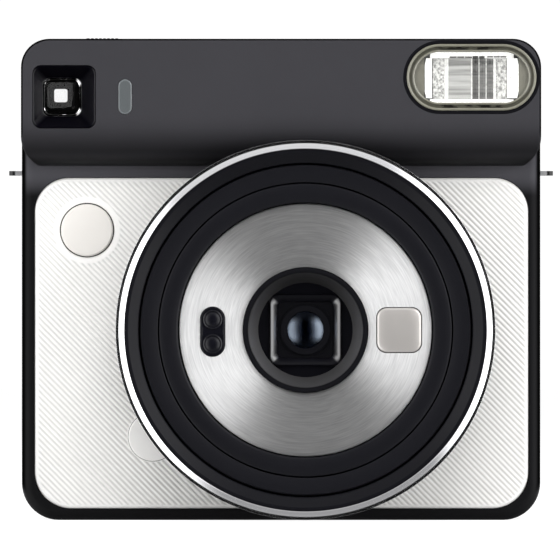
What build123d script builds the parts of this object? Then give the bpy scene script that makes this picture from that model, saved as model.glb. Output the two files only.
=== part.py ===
from build123d import *
import math
import os

os.makedirs("parts", exist_ok=True)

# Instant camera for square film. X to the right seen from the front, Y to the back, Z up. Millimetres.

# ---- body ----
BODY_W = 128.1
BODY_H = 118.7
HALF_W = BODY_W / 2
TOP_R = 7.0
BOTTOM_R = 9.2
WALL = 2.0
BROW_Y = -18.0
FACE_Y = -9.0
FACE_WALL = 3.5
SEAM_Y = 5.0
BACK_Y = 28.65
PROUD_Y = 29.05
FRONT_EDGE_R = 2.8
BACK_EDGE_R = 3.5

# ---- brow, the deep housing above the lens ----
BROW_FOOT_Z = 87.5
BROW_UNDER_R = 9.0
BROW_CORNER_R = 8.0
BROW_EDGE_R = 0.7
BROW_ROOT_Y = -5.8
BROW_DROP = 0.9
BROW_NOTCH_R = 46.9

# ---- front panel ----
PANEL_X0 = -60.8
PANEL_X1 = 61.05
PANEL_Z0 = 2.9
PANEL_Z1 = 84.5
PANEL_TOP_R = 8.4
PANEL_BOTTOM_R = 9.0
PANEL_FRONT_Y = -9.4
PANEL_BACK_Y = -7.6
PANEL_GAP = 0.15

# ---- lens, retracted ----
LENS_X = 6.0
LENS_Z = 47.0
SILVER_OUT_R = 46.4
SILVER_IN_R = 44.2
SILVER_FRONT_Y = -29.05
SILVER_BACK_Y = -22.85
HOUSING_NECK_R = 42.6
HOUSING_BORE_R = 40.68
HOUSING_FLANGE_R = 44.7
OUTER_BARREL_R = 40.6
OUTER_BARREL_IN_R = 39.0
OUTER_FRONT_Y = -26.6
INNER_BARREL_R = 36.0
INNER_BARREL_IN_R = 34.5
INNER_FRONT_Y = -25.9
PLATE_R = 31.05
PLATE_FRONT_Y = -25.3
PLATE_BACK_Y = -24.1
LENS_RING_OUT_R = 15.35
LENS_RING_IN_R = 14.15
LENS_RING_FRONT_Y = -26.2
CONE_FRONT_R = 14.0
CONE_BACK_R = 11.6
CONE_FLOOR_Y = -20.5
CONE_BACK_Y = -19.0
CONE_FLANGE_R = 18.5
BAFFLE_OUT = 17.2
BAFFLE_IN = 14.7
LENS_R = 4.88
LENS_BORE_R = 4.95
SHUTTER_PLATE_Y = -15.0
SHUTTER_R = 17.0
BLADE_PIVOT_DX = 10.0
BLADE_PIVOT_DZ = 4.0
BLADE_PIN_R = 0.8
BLADE_BORE_R = 0.85
BLADE_HALF_W = 3.6
BLADE_T = 0.3
RANGE_DX = -22.8
RANGE_DZ = -0.4
RANGE_W = 6.0
RANGE_H = 12.2
RANGE_LENS_DZ = 3.0
MIRROR_DX = 23.0
MIRROR_SIDE = 11.0
MIRROR_CORNER_R = 2.4

# ---- viewfinder, sensor and flash ----
FINDER_X = -53.4
FINDER_Z = 104.4
BEZEL_SIDE = 15.6
BEZEL_R = 2.1
TUBE_SIDE = 14.0
TUBE_WALL = 1.2
TUBE_BACK_Y = 26.5
SHELF_X1 = -40.2
EYE_SIDE = 12.0
EYE_OPEN = 7.2
SENSOR_X = -38.4
SENSOR_W = 3.5
SENSOR_H = 8.8
FLASH_X = 46.9
FLASH_Z = 109.2
FLASH_W = 32.4
FLASH_H = 16.8
FLASH_RIM = 1.9
REFLECTOR_W = 23.4
REFLECTOR_H = 12.4
CAPACITOR_R = 6.0
CAPACITOR_X = 54.5
CAPACITOR_Y = 15.0

# ---- film room ----
ROOM_X0 = -32.75
ROOM_X1 = 44.75
ROOM_Z0 = 5.0
ROOM_Z1 = 97.0
FILM_WALL_Y0 = 7.0
FILM_WALL_Y1 = 9.0
ROOM_BACK_Y = 26.0
PICTURE_SIDE = 62.0
FILM_Y = 11.0

# ---- rollers and gears ----
ROLLER_Z = 104.0
ROLLER_SPACING = 8.0
ROLLER_R = 3.85
ROLLER_X0 = -34.0
ROLLER_X1 = 46.0
SHAFT_R = 1.5
SHAFT_HOLE_R = 1.55
EAR_T = 1.4
EAR_LEFT_X = -36.6
EAR_RIGHT_X = 47.0
GEAR_MODULE = 0.5
ROLLER_TEETH = 16
IDLER_TEETH = 24
PINION_TEETH = 10
GEAR_X0 = -40.8
GEAR_X1 = -37.8
IDLER_Y = 1.0
IDLER_Z = 96.0
MOTOR_Y = 1.4
MOTOR_R = 6.5
MOTOR_X0 = -59.5
MOTOR_X1 = -43.0
MOTOR_SHAFT_R = 0.8

# ---- openings in the shells ----
DOOR_X0 = -38.0
DOOR_PIVOT_X = 50.5
DOOR_PIVOT_Y = 27.05
DOOR_KNUCKLE_R = 1.6
DOOR_INNER_Y = 26.1
DOOR_Z0 = 3.5
DOOR_Z1 = 98.0
DOOR_GAP = 0.4
DOOR_PIN_R = 0.9
CELL_X = -52.5
CELL_Y = 14.5
CELL_R = 7.75
BATTERY_DOOR_Y0 = 6.7
BATTERY_DOOR_PIVOT_Y = 23.6
BATTERY_DOOR_Z0 = 9.0
BATTERY_DOOR_Z1 = 62.3
EXIT_W = 76.8
EXIT_Y0 = 9.15
EXIT_Y1 = 12.8
FLAP_PIVOT_Y = 9.9
FLAP_PIVOT_Z = 118.0
LUG_Z = 85.7
LUG_T = 1.1
LUG_OUT = 3.2
TRIPOD_X = -44.0
TRIPOD_BORE_R = 2.6
TRIPOD_DEPTH = 6.0

# ---- buttons, lamps and counter ----
SHUTTER_X = -47.9
SHUTTER_Z = 71.6
SHUTTER_CAP_R = 6.45
SHUTTER_STEM_R = 3.0
POWER_X = -31.7
POWER_Z = 20.6
POWER_CAP_R = 6.0
POWER_STEM_R = 2.0
POWER_STEM_X = -34.6
POWER_STEM_Z = 18.5
TIMER_X = -44.2
TIMER_Y = -4.0
TIMER_W = 7.8
TIMER_D = 5.0
TIMER_TOP_Z = 119.05
BACK_ROW_Z = 108.0
MODE_X = -24.0
FLASH_BUTTON_X = -12.0
BACK_CAP_R = 3.4
LAMP_XS = (-1.0, 4.5, 10.0, 15.5)
LAMP_R = 1.1
DIAL_X = 35.0
DIAL_Z = 107.0
DIAL_R = 8.4
WINDOW_X = 28.8
WINDOW_SIDE = 5.2
LATCH_X = -44.0
LATCH_Z = 50.0

# ---- screws that join the shells ----
SCREW_Y = 7.3
BOTTOM_SCREW_X = 51.9
SIDE_SCREW_Z = 74.0
SCREW_R = 0.98
SCREW_HEAD_R = 1.9
SCREW_HEAD_T = 0.85
SCREW_LENGTH = 4.0

LENS_AXIS = Axis((LENS_X, 0, LENS_Z), (0, 1, 0))
FACE_INNER_Y = FACE_Y + FACE_WALL
BACK_INNER_Y = BACK_Y - WALL


def facing_front(y):
    """Upright plane at depth y; a positive extrusion goes to the front."""
    return Plane(origin=(0, y, 0), x_dir=(1, 0, 0), z_dir=(0, -1, 0))


def block(x0, x1, y0, y1, z0, z1):
    """Rectangular block given by its six limits."""
    with BuildPart() as body:
        with BuildSketch(Plane.XY.offset(z0)):
            with Locations(((x0 + x1) / 2, (y0 + y1) / 2)):
                Rectangle(x1 - x0, y1 - y0)
        extrude(amount=z1 - z0)
    return body.part


def turned(points, x, z):
    """Profile of (radius, depth) points, ready to be revolved about a front-to-back axis at x, z."""
    with BuildSketch(Plane((x, 0, z))) as profile:
        with BuildLine():
            Polyline(*points, close=True)
        make_face()
    return profile.sketch


def rod(radius, x, z, y0, y1):
    """Cylinder that runs front to back."""
    with BuildPart() as body:
        with BuildSketch(facing_front(y1)):
            with Locations((x, z)):
                Circle(radius)
        extrude(amount=y1 - y0)
    return body.part


def cross_rod(radius, y, z, x0, x1):
    """Cylinder that runs from side to side."""
    with BuildPart() as body:
        with BuildSketch(Plane.YZ.offset(x0)):
            with Locations((y, z)):
                Circle(radius)
        extrude(amount=x1 - x0)
    return body.part


def post(radius, x, y, z0, z1):
    """Upright cylinder."""
    with BuildPart() as body:
        with BuildSketch(Plane.XY.offset(z0)):
            with Locations((x, y)):
                Circle(radius)
        extrude(amount=z1 - z0)
    return body.part


def body_outline(y, inset):
    """Outline of the body seen from the front, drawn in by an inset."""
    with BuildSketch(facing_front(y)) as outline:
        with Locations((0, BODY_H / 2)):
            Rectangle(BODY_W - 2 * inset, BODY_H - 2 * inset)
        fillet(outline.vertices().group_by(Axis.Y)[-1], TOP_R - inset)
        fillet(outline.vertices().group_by(Axis.Y)[0], BOTTOM_R - inset)
    return outline.sketch


def panel_outline(y, grow):
    """Outline of the front panel, grown by a gap."""
    with BuildSketch(facing_front(y)) as outline:
        with Locations(((PANEL_X0 + PANEL_X1) / 2, (PANEL_Z0 + PANEL_Z1) / 2)):
            Rectangle(PANEL_X1 - PANEL_X0 + 2 * grow, PANEL_Z1 - PANEL_Z0 + 2 * grow)
        fillet(outline.vertices().group_by(Axis.Y)[-1], PANEL_TOP_R + grow)
        fillet(outline.vertices().group_by(Axis.Y)[0], PANEL_BOTTOM_R + grow)
    return outline.sketch


def soft_square(side, corner, x, z, y):
    """Square with rounded corners, facing the front."""
    with BuildSketch(facing_front(y)) as square:
        with Locations((x, z)):
            RectangleRounded(side, side, corner)
    return square.sketch


def upright_slot(width, height, x, z, y):
    """Upright rounded slot, facing the front."""
    with BuildSketch(facing_front(y)) as slot:
        with Locations((x, z)):
            SlotOverall(height, width, rotation=90)
    return slot.sketch


def flash_outline(shrink, y):
    """Rounded outline of the flash window, drawn in by an amount."""
    with BuildSketch(facing_front(y)) as outline:
        with Locations((FLASH_X, FLASH_Z)):
            SlotOverall(FLASH_W - 2 * shrink, FLASH_H - 2 * shrink)
    return outline.sketch


def gear_face(teeth, phase, y, z, x):
    """Outline of a spur gear that turns about the side-to-side direction."""
    pitch_r = GEAR_MODULE * teeth / 2
    tip_r = pitch_r + 0.8 * GEAR_MODULE
    root_r = pitch_r - 1.1 * GEAR_MODULE
    pitch = 360 / teeth
    points = []
    for tooth in range(teeth):
        middle = phase + tooth * pitch
        for radius, share in ((root_r, -0.30), (tip_r, -0.11), (tip_r, 0.11), (root_r, 0.30)):
            angle = math.radians(middle + share * pitch)
            points.append((y + radius * math.cos(angle), z + radius * math.sin(angle)))
    with BuildSketch(Plane.YZ.offset(x)) as outline:
        with BuildLine():
            Polyline(*points, close=True)
        make_face()
    return outline.sketch


def meshed_phase(phase, teeth, direction, next_teeth):
    """Angle of a tooth on the next gear, so that it meshes with a gear of the given phase."""
    offset = (direction - phase) / (360 / teeth)
    return (direction + 180 + (offset + 0.5) * 360 / next_teeth) % 360


# ---- construction blocks of the brow ----

with BuildPart() as brow_block:
    with BuildSketch(Plane.YZ.offset(-HALF_W)):
        with BuildLine():
            under = BROW_UNDER_R * math.sin(math.radians(45))
            Line((BROW_ROOT_Y, BROW_FOOT_Z), (FACE_Y, BROW_FOOT_Z))
            ThreePointArc(
                (FACE_Y, BROW_FOOT_Z),
                (FACE_Y - under, BROW_FOOT_Z + BROW_UNDER_R - under),
                (BROW_Y, BROW_FOOT_Z + BROW_UNDER_R),
            )
            Polyline(
                (BROW_Y, BROW_FOOT_Z + BROW_UNDER_R),
                (BROW_Y, BODY_H),
                (BROW_ROOT_Y, BODY_H),
                (BROW_ROOT_Y, BROW_FOOT_Z),
            )
        make_face()
    extrude(amount=BODY_W)
    with BuildSketch(facing_front(BROW_ROOT_Y)) as brow_front:
        with Locations((0, (BODY_H + BROW_FOOT_Z - BROW_DROP) / 2)):
            Rectangle(BODY_W, BODY_H - BROW_FOOT_Z + BROW_DROP)
        fillet(brow_front.vertices().group_by(Axis.Y)[-1], TOP_R)
        fillet(brow_front.vertices().group_by(Axis.Y)[0], BROW_CORNER_R)
    extrude(amount=BROW_ROOT_Y - BROW_Y, mode=Mode.INTERSECT)
    fillet(brow_block.faces().sort_by(Axis.Y)[0].edges(), BROW_EDGE_R)
    add(rod(BROW_NOTCH_R, LENS_X, LENS_Z, BROW_Y - 1, FACE_Y), mode=Mode.SUBTRACT)

with BuildPart() as brow_room:
    with BuildSketch(Plane.YZ.offset(-HALF_W)):
        with BuildLine():
            room_r = BROW_UNDER_R - WALL
            room_under = room_r * math.sin(math.radians(45))
            room_foot = BROW_FOOT_Z + WALL
            Line((FACE_INNER_Y + 1, room_foot), (FACE_Y, room_foot))
            ThreePointArc(
                (FACE_Y, room_foot),
                (FACE_Y - room_under, room_foot + room_r - room_under),
                (BROW_Y + WALL, room_foot + room_r),
            )
            Polyline(
                (BROW_Y + WALL, room_foot + room_r),
                (BROW_Y + WALL, BODY_H - WALL),
                (FACE_INNER_Y + 1, BODY_H - WALL),
                (FACE_INNER_Y + 1, room_foot),
            )
        make_face()
    extrude(amount=BODY_W)
    with BuildSketch(facing_front(FACE_INNER_Y + 1)) as room_front:
        with Locations((0, (BODY_H + BROW_FOOT_Z) / 2)):
            Rectangle(BODY_W - 2 * WALL, BODY_H - BROW_FOOT_Z - 2 * WALL)
        fillet(room_front.vertices().group_by(Axis.Y)[-1], TOP_R - WALL)
        fillet(room_front.vertices().group_by(Axis.Y)[0], BROW_CORNER_R - WALL)
    extrude(amount=FACE_INNER_Y + 1 - BROW_Y, mode=Mode.INTERSECT)
    add(rod(BROW_NOTCH_R + WALL, LENS_X, LENS_Z, BROW_Y, FACE_INNER_Y), mode=Mode.SUBTRACT)

# ---- front shell ----

TAB_Y0 = -3.0
TAB_Y1 = 9.75
TAB_HALF = 2.5
TAB_T = 2.1

with BuildPart() as front_shell:
    extrude(body_outline(SEAM_Y, 0), amount=SEAM_Y - FACE_Y)
    fillet(front_shell.faces().sort_by(Axis.Y)[0].edges(), FRONT_EDGE_R)
    add(brow_block.part)
    extrude(body_outline(SEAM_Y, WALL), amount=SEAM_Y - FACE_INNER_Y, mode=Mode.SUBTRACT)
    add(brow_room.part, mode=Mode.SUBTRACT)
    extrude(panel_outline(PANEL_BACK_Y, PANEL_GAP), amount=FRONT_EDGE_R, mode=Mode.SUBTRACT)
    add(rod(HOUSING_NECK_R + 0.6, LENS_X, LENS_Z, FACE_Y - 1, SEAM_Y), mode=Mode.SUBTRACT)
    # openings for the finder, the sensor and the flash
    extrude(soft_square(BEZEL_SIDE, BEZEL_R, FINDER_X, FINDER_Z, BROW_Y + 3), amount=4, mode=Mode.SUBTRACT)
    extrude(upright_slot(SENSOR_W, SENSOR_H, SENSOR_X, FINDER_Z, BROW_Y + 3), amount=4, mode=Mode.SUBTRACT)
    extrude(flash_outline(0, BROW_Y + 2.5), amount=4, mode=Mode.SUBTRACT)
    # holes for the button stems
    add(rod(SHUTTER_STEM_R + 0.06, SHUTTER_X, SHUTTER_Z, FACE_Y, 0), mode=Mode.SUBTRACT)
    add(rod(POWER_STEM_R + 0.06, POWER_STEM_X, POWER_STEM_Z, FACE_Y, 0), mode=Mode.SUBTRACT)
    with BuildSketch(Plane.XY.offset(BODY_H - WALL - 0.5)):
        with Locations((TIMER_X, TIMER_Y)):
            RectangleRounded(TIMER_W + 0.2, TIMER_D + 0.2, 1.1)
    extrude(amount=WALL + 1, mode=Mode.SUBTRACT)
    # strap lug slots and tripod socket hole
    for side in (-1, 1):
        lug_cut = block(HALF_W - 4, HALF_W + 1, -5.1, 4.1, LUG_Z - LUG_T / 2 - 0.05, LUG_Z + LUG_T / 2 + 0.05)
        add(lug_cut if side > 0 else mirror(lug_cut, about=Plane.YZ, mode=Mode.PRIVATE), mode=Mode.SUBTRACT)
    add(post(4.0, TRIPOD_X, 0, -1, WALL + 1), mode=Mode.SUBTRACT)
    # tabs that take the joining screws
    for side in (-1, 1):
        middle = side * BOTTOM_SCREW_X
        add(block(middle - TAB_HALF, middle + TAB_HALF, TAB_Y0, SEAM_Y, WALL - 0.2, WALL + TAB_T))
        add(block(middle - TAB_HALF, middle + TAB_HALF, SEAM_Y, TAB_Y1, WALL + 0.05, WALL + TAB_T))
        wall_x = side * (HALF_W - WALL)
        deep_x = wall_x - side * TAB_T
        z0 = SIDE_SCREW_Z - TAB_HALF
        z1 = SIDE_SCREW_Z + TAB_HALF
        near = wall_x + side * 0.2
        add(block(min(near, deep_x), max(near, deep_x), TAB_Y0, SEAM_Y, z0, z1))
        near = wall_x - side * 0.05
        add(block(min(near, deep_x), max(near, deep_x), SEAM_Y, TAB_Y1, z0, z1))
        add(post(SCREW_R + 0.02, middle, SCREW_Y, 0, WALL + TAB_T + 1), mode=Mode.SUBTRACT)
        reach = side * HALF_W
        add(
            cross_rod(SCREW_R + 0.02, SCREW_Y, SIDE_SCREW_Z, min(reach, deep_x) - 1, max(reach, deep_x) + 1),
            mode=Mode.SUBTRACT,
        )
front_shell.part.label = "front_shell"
export_step(front_shell.part, "parts/front_shell.step")

# ---- rear shell ----

BOSS_HALF = 2.0
ROW_HOLE_GAP = 0.1

with BuildPart() as rear_shell:
    extrude(body_outline(BACK_Y, 0), amount=BACK_Y - SEAM_Y)
    fillet(rear_shell.faces().sort_by(Axis.Y)[-1].edges(), BACK_EDGE_R)
    extrude(body_outline(BACK_INNER_Y, WALL), amount=BACK_INNER_Y - SEAM_Y, mode=Mode.SUBTRACT)
    # opening of the film door
    add(
        block(
            DOOR_X0 - DOOR_GAP,
            DOOR_PIVOT_X + DOOR_KNUCKLE_R + DOOR_GAP,
            BACK_INNER_Y - 0.5,
            BACK_Y + 1,
            DOOR_Z0 - DOOR_GAP,
            DOOR_Z1 + DOOR_GAP,
        ),
        mode=Mode.SUBTRACT,
    )
    # bosses that hold the pivots of the film door
    for z0, z1 in ((WALL - 0.5, DOOR_Z0 - DOOR_GAP), (DOOR_Z1 + DOOR_GAP, DOOR_Z1 + 3)):
        add(block(DOOR_PIVOT_X - BOSS_HALF, DOOR_PIVOT_X + BOSS_HALF, 25.0, BACK_INNER_Y + 0.5, z0, z1))
    add(post(DOOR_PIN_R + 0.05, DOOR_PIVOT_X, DOOR_PIVOT_Y, 1.2, DOOR_Z1 + 2.2), mode=Mode.SUBTRACT)
    # opening of the battery door
    add(
        block(
            -HALF_W - 1,
            -HALF_W + WALL + 0.2,
            BATTERY_DOOR_Y0 - 0.2,
            BATTERY_DOOR_PIVOT_Y + 1.2,
            BATTERY_DOOR_Z0 - 0.2,
            BATTERY_DOOR_Z1 + 0.2,
        ),
        mode=Mode.SUBTRACT,
    )
    add(
        post(0.65, -HALF_W + 1, BATTERY_DOOR_PIVOT_Y, BATTERY_DOOR_Z0 - 1.6, BATTERY_DOOR_Z1 + 1.6),
        mode=Mode.SUBTRACT,
    )
    # picture exit
    add(
        block(LENS_X - EXIT_W / 2, LENS_X + EXIT_W / 2, EXIT_Y0, EXIT_Y1, BODY_H - WALL - 1, BODY_H + 1),
        mode=Mode.SUBTRACT,
    )
    add(
        cross_rod(0.45, FLAP_PIVOT_Y, FLAP_PIVOT_Z, LENS_X - EXIT_W / 2 - 1.1, LENS_X + EXIT_W / 2 + 1.1),
        mode=Mode.SUBTRACT,
    )
    # eyepiece, buttons, lamps and counter window
    extrude(soft_square(EYE_SIDE + 0.1, 2.05, FINDER_X, FINDER_Z, BACK_Y + 1), amount=4, mode=Mode.SUBTRACT)
    for x in (MODE_X, FLASH_BUTTON_X):
        add(rod(BACK_CAP_R + ROW_HOLE_GAP, x, BACK_ROW_Z, BACK_INNER_Y - 1, BACK_Y + 1), mode=Mode.SUBTRACT)
    for x in LAMP_XS:
        add(rod(LAMP_R + 0.03, x, BACK_ROW_Z, BACK_INNER_Y - 1, BACK_Y + 1), mode=Mode.SUBTRACT)
    extrude(soft_square(WINDOW_SIDE, 0.8, WINDOW_X, DIAL_Z, BACK_Y + 1), amount=4, mode=Mode.SUBTRACT)
    # latch recess and slot
    add(block(LATCH_X - 3.2, LATCH_X + 3.2, 27.6, BACK_Y + 1, LATCH_Z - 6.7, LATCH_Z + 10.7), mode=Mode.SUBTRACT)
    add(block(LATCH_X - 1.1, LATCH_X + 1.1, 25, BACK_Y + 1, LATCH_Z - 2.2, LATCH_Z + 6.2), mode=Mode.SUBTRACT)
    # screw holes with counterbores
    for side in (-1, 1):
        add(post(SCREW_R + 0.05, side * BOTTOM_SCREW_X, SCREW_Y, -1, WALL + 1), mode=Mode.SUBTRACT)
        add(post(SCREW_HEAD_R + 0.1, side * BOTTOM_SCREW_X, SCREW_Y, -1, 1.0), mode=Mode.SUBTRACT)
        outer = side * (HALF_W + 1)
        inner = side * (HALF_W - WALL - 1)
        seat = side * (HALF_W - 1)
        add(
            cross_rod(SCREW_R + 0.05, SCREW_Y, SIDE_SCREW_Z, min(outer, inner), max(outer, inner)),
            mode=Mode.SUBTRACT,
        )
        add(
            cross_rod(SCREW_HEAD_R + 0.1, SCREW_Y, SIDE_SCREW_Z, min(outer, seat), max(outer, seat)),
            mode=Mode.SUBTRACT,
        )
rear_shell.part.label = "rear_shell"
export_step(rear_shell.part, "parts/rear_shell.step")

# ---- front panel ----

with BuildPart() as front_panel:
    extrude(panel_outline(PANEL_BACK_Y, 0), amount=PANEL_BACK_Y - PANEL_FRONT_Y)
    fillet(front_panel.faces().sort_by(Axis.Y)[0].edges(), 0.9)
    add(rod(HOUSING_NECK_R + 0.3, LENS_X, LENS_Z, PANEL_FRONT_Y - 1, 0), mode=Mode.SUBTRACT)
    add(rod(SHUTTER_CAP_R + 0.28, SHUTTER_X, SHUTTER_Z, PANEL_FRONT_Y - 1, 0), mode=Mode.SUBTRACT)
    add(rod(POWER_CAP_R + 0.12, POWER_X, POWER_Z, PANEL_FRONT_Y - 1, 0), mode=Mode.SUBTRACT)
front_panel.part.label = "front_panel"
export_step(front_panel.part, "parts/front_panel.step")

# ---- fixed lens housing and its silver ring ----

with BuildPart() as lens_housing:
    revolve(
        turned(
            (
                (HOUSING_BORE_R, 3.0),
                (HOUSING_NECK_R, 3.0),
                (HOUSING_NECK_R, -3.5),
                (HOUSING_FLANGE_R, -3.5),
                (HOUSING_FLANGE_R, -5.45),
                (HOUSING_NECK_R, -5.45),
                (HOUSING_NECK_R, PANEL_FRONT_Y),
                (44.2, -14.0),
                (45.9, SILVER_BACK_Y + 0.05),
                (SILVER_IN_R - 0.05, SILVER_BACK_Y + 0.05),
                (SILVER_IN_R - 0.05, -28.5),
                (43.9, -28.75),
                (41.15, -27.0),
                (41.15, -24.2),
                (HOUSING_BORE_R, -23.8),
            ),
            LENS_X,
            LENS_Z,
        ),
        axis=LENS_AXIS,
    )
lens_housing.part.label = "lens_housing"
export_step(lens_housing.part, "parts/lens_housing.step")

with BuildPart() as silver_ring:
    with BuildSketch(Plane((LENS_X, 0, LENS_Z))):
        with BuildLine():
            Line((SILVER_IN_R, SILVER_BACK_Y), (46.2, SILVER_BACK_Y))
            Line((46.2, SILVER_BACK_Y), (SILVER_OUT_R, -23.3))
            Line((SILVER_OUT_R, -23.3), (SILVER_OUT_R, -27.4))
            ThreePointArc((SILVER_OUT_R, -27.4), (46.0, -28.6), (45.1, SILVER_FRONT_Y))
            Line((45.1, SILVER_FRONT_Y), (SILVER_IN_R, -28.75))
            Line((SILVER_IN_R, -28.75), (SILVER_IN_R, SILVER_BACK_Y))
        make_face()
    revolve(axis=LENS_AXIS)
silver_ring.part.label = "silver_ring"
export_step(silver_ring.part, "parts/silver_ring.step")

# ---- lens barrels ----

with BuildPart() as outer_barrel:
    revolve(
        turned(
            (
                (OUTER_BARREL_IN_R, 0),
                (OUTER_BARREL_R, 0),
                (OUTER_BARREL_R, OUTER_FRONT_Y + 0.4),
                (OUTER_BARREL_R - 0.3, OUTER_FRONT_Y),
                (INNER_BARREL_R + 0.5, OUTER_FRONT_Y),
                (INNER_BARREL_R + 0.08, OUTER_FRONT_Y + 0.4),
                (INNER_BARREL_R + 0.08, OUTER_FRONT_Y + 1.2),
                (OUTER_BARREL_IN_R, OUTER_FRONT_Y + 1.2),
            ),
            LENS_X,
            LENS_Z,
        ),
        axis=LENS_AXIS,
    )
outer_barrel.part.label = "outer_barrel"
export_step(outer_barrel.part, "parts/outer_barrel.step")

with BuildPart() as inner_barrel:
    revolve(
        turned(
            (
                (38.92, 0.4),
                (38.92, -1.5),
                (INNER_BARREL_R, -1.5),
                (INNER_BARREL_R, INNER_FRONT_Y + 0.3),
                (INNER_BARREL_R - 0.3, INNER_FRONT_Y),
                (PLATE_R + 0.65, INNER_FRONT_Y),
                (PLATE_R + 0.25, INNER_FRONT_Y + 0.4),
                (PLATE_R + 0.25, PLATE_BACK_Y),
                (CONE_FLANGE_R + 0.1, PLATE_BACK_Y),
                (CONE_FLANGE_R + 0.1, PLATE_BACK_Y + 1.2),
                (INNER_BARREL_IN_R, PLATE_BACK_Y + 1.2),
                (INNER_BARREL_IN_R, 0.4),
            ),
            LENS_X,
            LENS_Z,
        ),
        axis=LENS_AXIS,
    )
    extrude(
        upright_slot(RANGE_W + 0.3, RANGE_H + 0.3, LENS_X + RANGE_DX, LENS_Z + RANGE_DZ, -20),
        amount=8,
        mode=Mode.SUBTRACT,
    )
inner_barrel.part.label = "inner_barrel"
export_step(inner_barrel.part, "parts/inner_barrel.step")

with BuildPart() as face_plate:
    add(rod(PLATE_R, LENS_X, LENS_Z, PLATE_FRONT_Y, PLATE_BACK_Y))
    fillet(face_plate.faces().sort_by(Axis.Y)[0].edges(), 0.2)
    add(rod(LENS_RING_OUT_R + 0.12, LENS_X, LENS_Z, PLATE_FRONT_Y - 1, 0), mode=Mode.SUBTRACT)
    extrude(
        upright_slot(RANGE_W + 0.2, RANGE_H + 0.2, LENS_X + RANGE_DX, LENS_Z + RANGE_DZ, -20),
        amount=8,
        mode=Mode.SUBTRACT,
    )
    extrude(
        soft_square(MIRROR_SIDE + 0.3, MIRROR_CORNER_R + 0.15, LENS_X + MIRROR_DX, LENS_Z, -20),
        amount=8,
        mode=Mode.SUBTRACT,
    )
face_plate.part.label = "face_plate"
export_step(face_plate.part, "parts/face_plate.step")

with BuildPart() as lens_ring:
    revolve(
        turned(
            (
                (LENS_RING_IN_R, PLATE_BACK_Y),
                (LENS_RING_OUT_R, PLATE_BACK_Y),
                (LENS_RING_OUT_R, LENS_RING_FRONT_Y + 0.3),
                (LENS_RING_OUT_R - 0.25, LENS_RING_FRONT_Y),
                (LENS_RING_IN_R + 0.4, LENS_RING_FRONT_Y),
                (LENS_RING_IN_R, LENS_RING_FRONT_Y + 0.3),
            ),
            LENS_X,
            LENS_Z,
        ),
        axis=LENS_AXIS,
    )
lens_ring.part.label = "lens_ring"
export_step(lens_ring.part, "parts/lens_ring.step")

with BuildPart() as lens_cone:
    revolve(
        turned(
            (
                (0, CONE_FLOOR_Y),
                (CONE_BACK_R, CONE_FLOOR_Y),
                (CONE_FRONT_R, LENS_RING_FRONT_Y + 0.4),
                (CONE_FRONT_R + 0.1, LENS_RING_FRONT_Y + 0.4),
                (CONE_FRONT_R + 0.1, PLATE_BACK_Y),
                (CONE_FLANGE_R, PLATE_BACK_Y),
                (CONE_FLANGE_R, PLATE_BACK_Y + 1.2),
                (13.2, PLATE_BACK_Y + 1.2),
                (13.2, CONE_BACK_Y),
                (0, CONE_BACK_Y),
            ),
            LENS_X,
            LENS_Z,
        ),
        axis=LENS_AXIS,
    )
    loft(
        (
            soft_square(BAFFLE_OUT, 2.4, LENS_X, LENS_Z, CONE_FLOOR_Y).face(),
            soft_square(BAFFLE_IN, 1.6, LENS_X, LENS_Z, CONE_BACK_Y).face(),
        ),
        mode=Mode.SUBTRACT,
    )
lens_cone.part.label = "lens_cone"
export_step(lens_cone.part, "parts/lens_cone.step")

# ---- lens cell, lenses and shutter ----

LENS_STOP_R = 4.55
CELL_FACE_R = 12.9
CELL_BARREL_R = 7.6
APERTURE_R = 2.75

with BuildPart() as lens_cell:
    revolve(
        turned(
            (
                (LENS_STOP_R, CONE_BACK_Y - 0.9),
                (6.1, CONE_BACK_Y - 0.9),
                (6.25, CONE_BACK_Y - 0.7),
                (6.25, CONE_BACK_Y),
                (CELL_FACE_R, CONE_BACK_Y),
                (CELL_FACE_R, CONE_BACK_Y + 1.2),
                (CELL_BARREL_R, CONE_BACK_Y + 1.2),
                (CELL_BARREL_R, SHUTTER_PLATE_Y),
                (APERTURE_R, SHUTTER_PLATE_Y),
                (APERTURE_R, SHUTTER_PLATE_Y - 0.6),
                (LENS_BORE_R, SHUTTER_PLATE_Y - 0.6),
                (LENS_BORE_R, CONE_BACK_Y + 0.1),
                (LENS_STOP_R, CONE_BACK_Y + 0.1),
            ),
            LENS_X,
            LENS_Z,
        ),
        axis=LENS_AXIS,
    )
lens_cell.part.label = "lens_cell"
export_step(lens_cell.part, "parts/lens_cell.step")


def half_way_sag(sag):
    """How far a lens face has fallen back half way from its middle to its edge."""
    curve_r = (LENS_R ** 2 + sag ** 2) / (2 * sag)
    return curve_r - math.sqrt(curve_r ** 2 - (LENS_R / 2) ** 2)


def lens_face(edge_y0, edge_y1, front_y, back_y):
    """Half section of a lens with two convex faces."""
    with BuildSketch(Plane((LENS_X, 0, LENS_Z))) as section:
        with BuildLine():
            front_mid = front_y + half_way_sag(edge_y0 - front_y)
            back_mid = back_y - half_way_sag(back_y - edge_y1)
            ThreePointArc((0, front_y), (LENS_R / 2, front_mid), (LENS_R, edge_y0))
            Line((LENS_R, edge_y0), (LENS_R, edge_y1))
            ThreePointArc((LENS_R, edge_y1), (LENS_R / 2, back_mid), (0, back_y))
            Line((0, back_y), (0, front_y))
        make_face()
    return section.sketch


with BuildPart() as front_lens:
    revolve(lens_face(CONE_BACK_Y + 0.3, -17.0, CONE_BACK_Y - 0.7, -16.1), axis=LENS_AXIS)
front_lens.part.label = "front_lens"
export_step(front_lens.part, "parts/front_lens.step")

BLADE_Y0 = -14.1
LOWER_BLADE_Y0 = -13.6
COVER_Y0 = -13.1
COVER_Y1 = -12.4
POST_RING_R = 15.8
PLATE_T = 0.8

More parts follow.
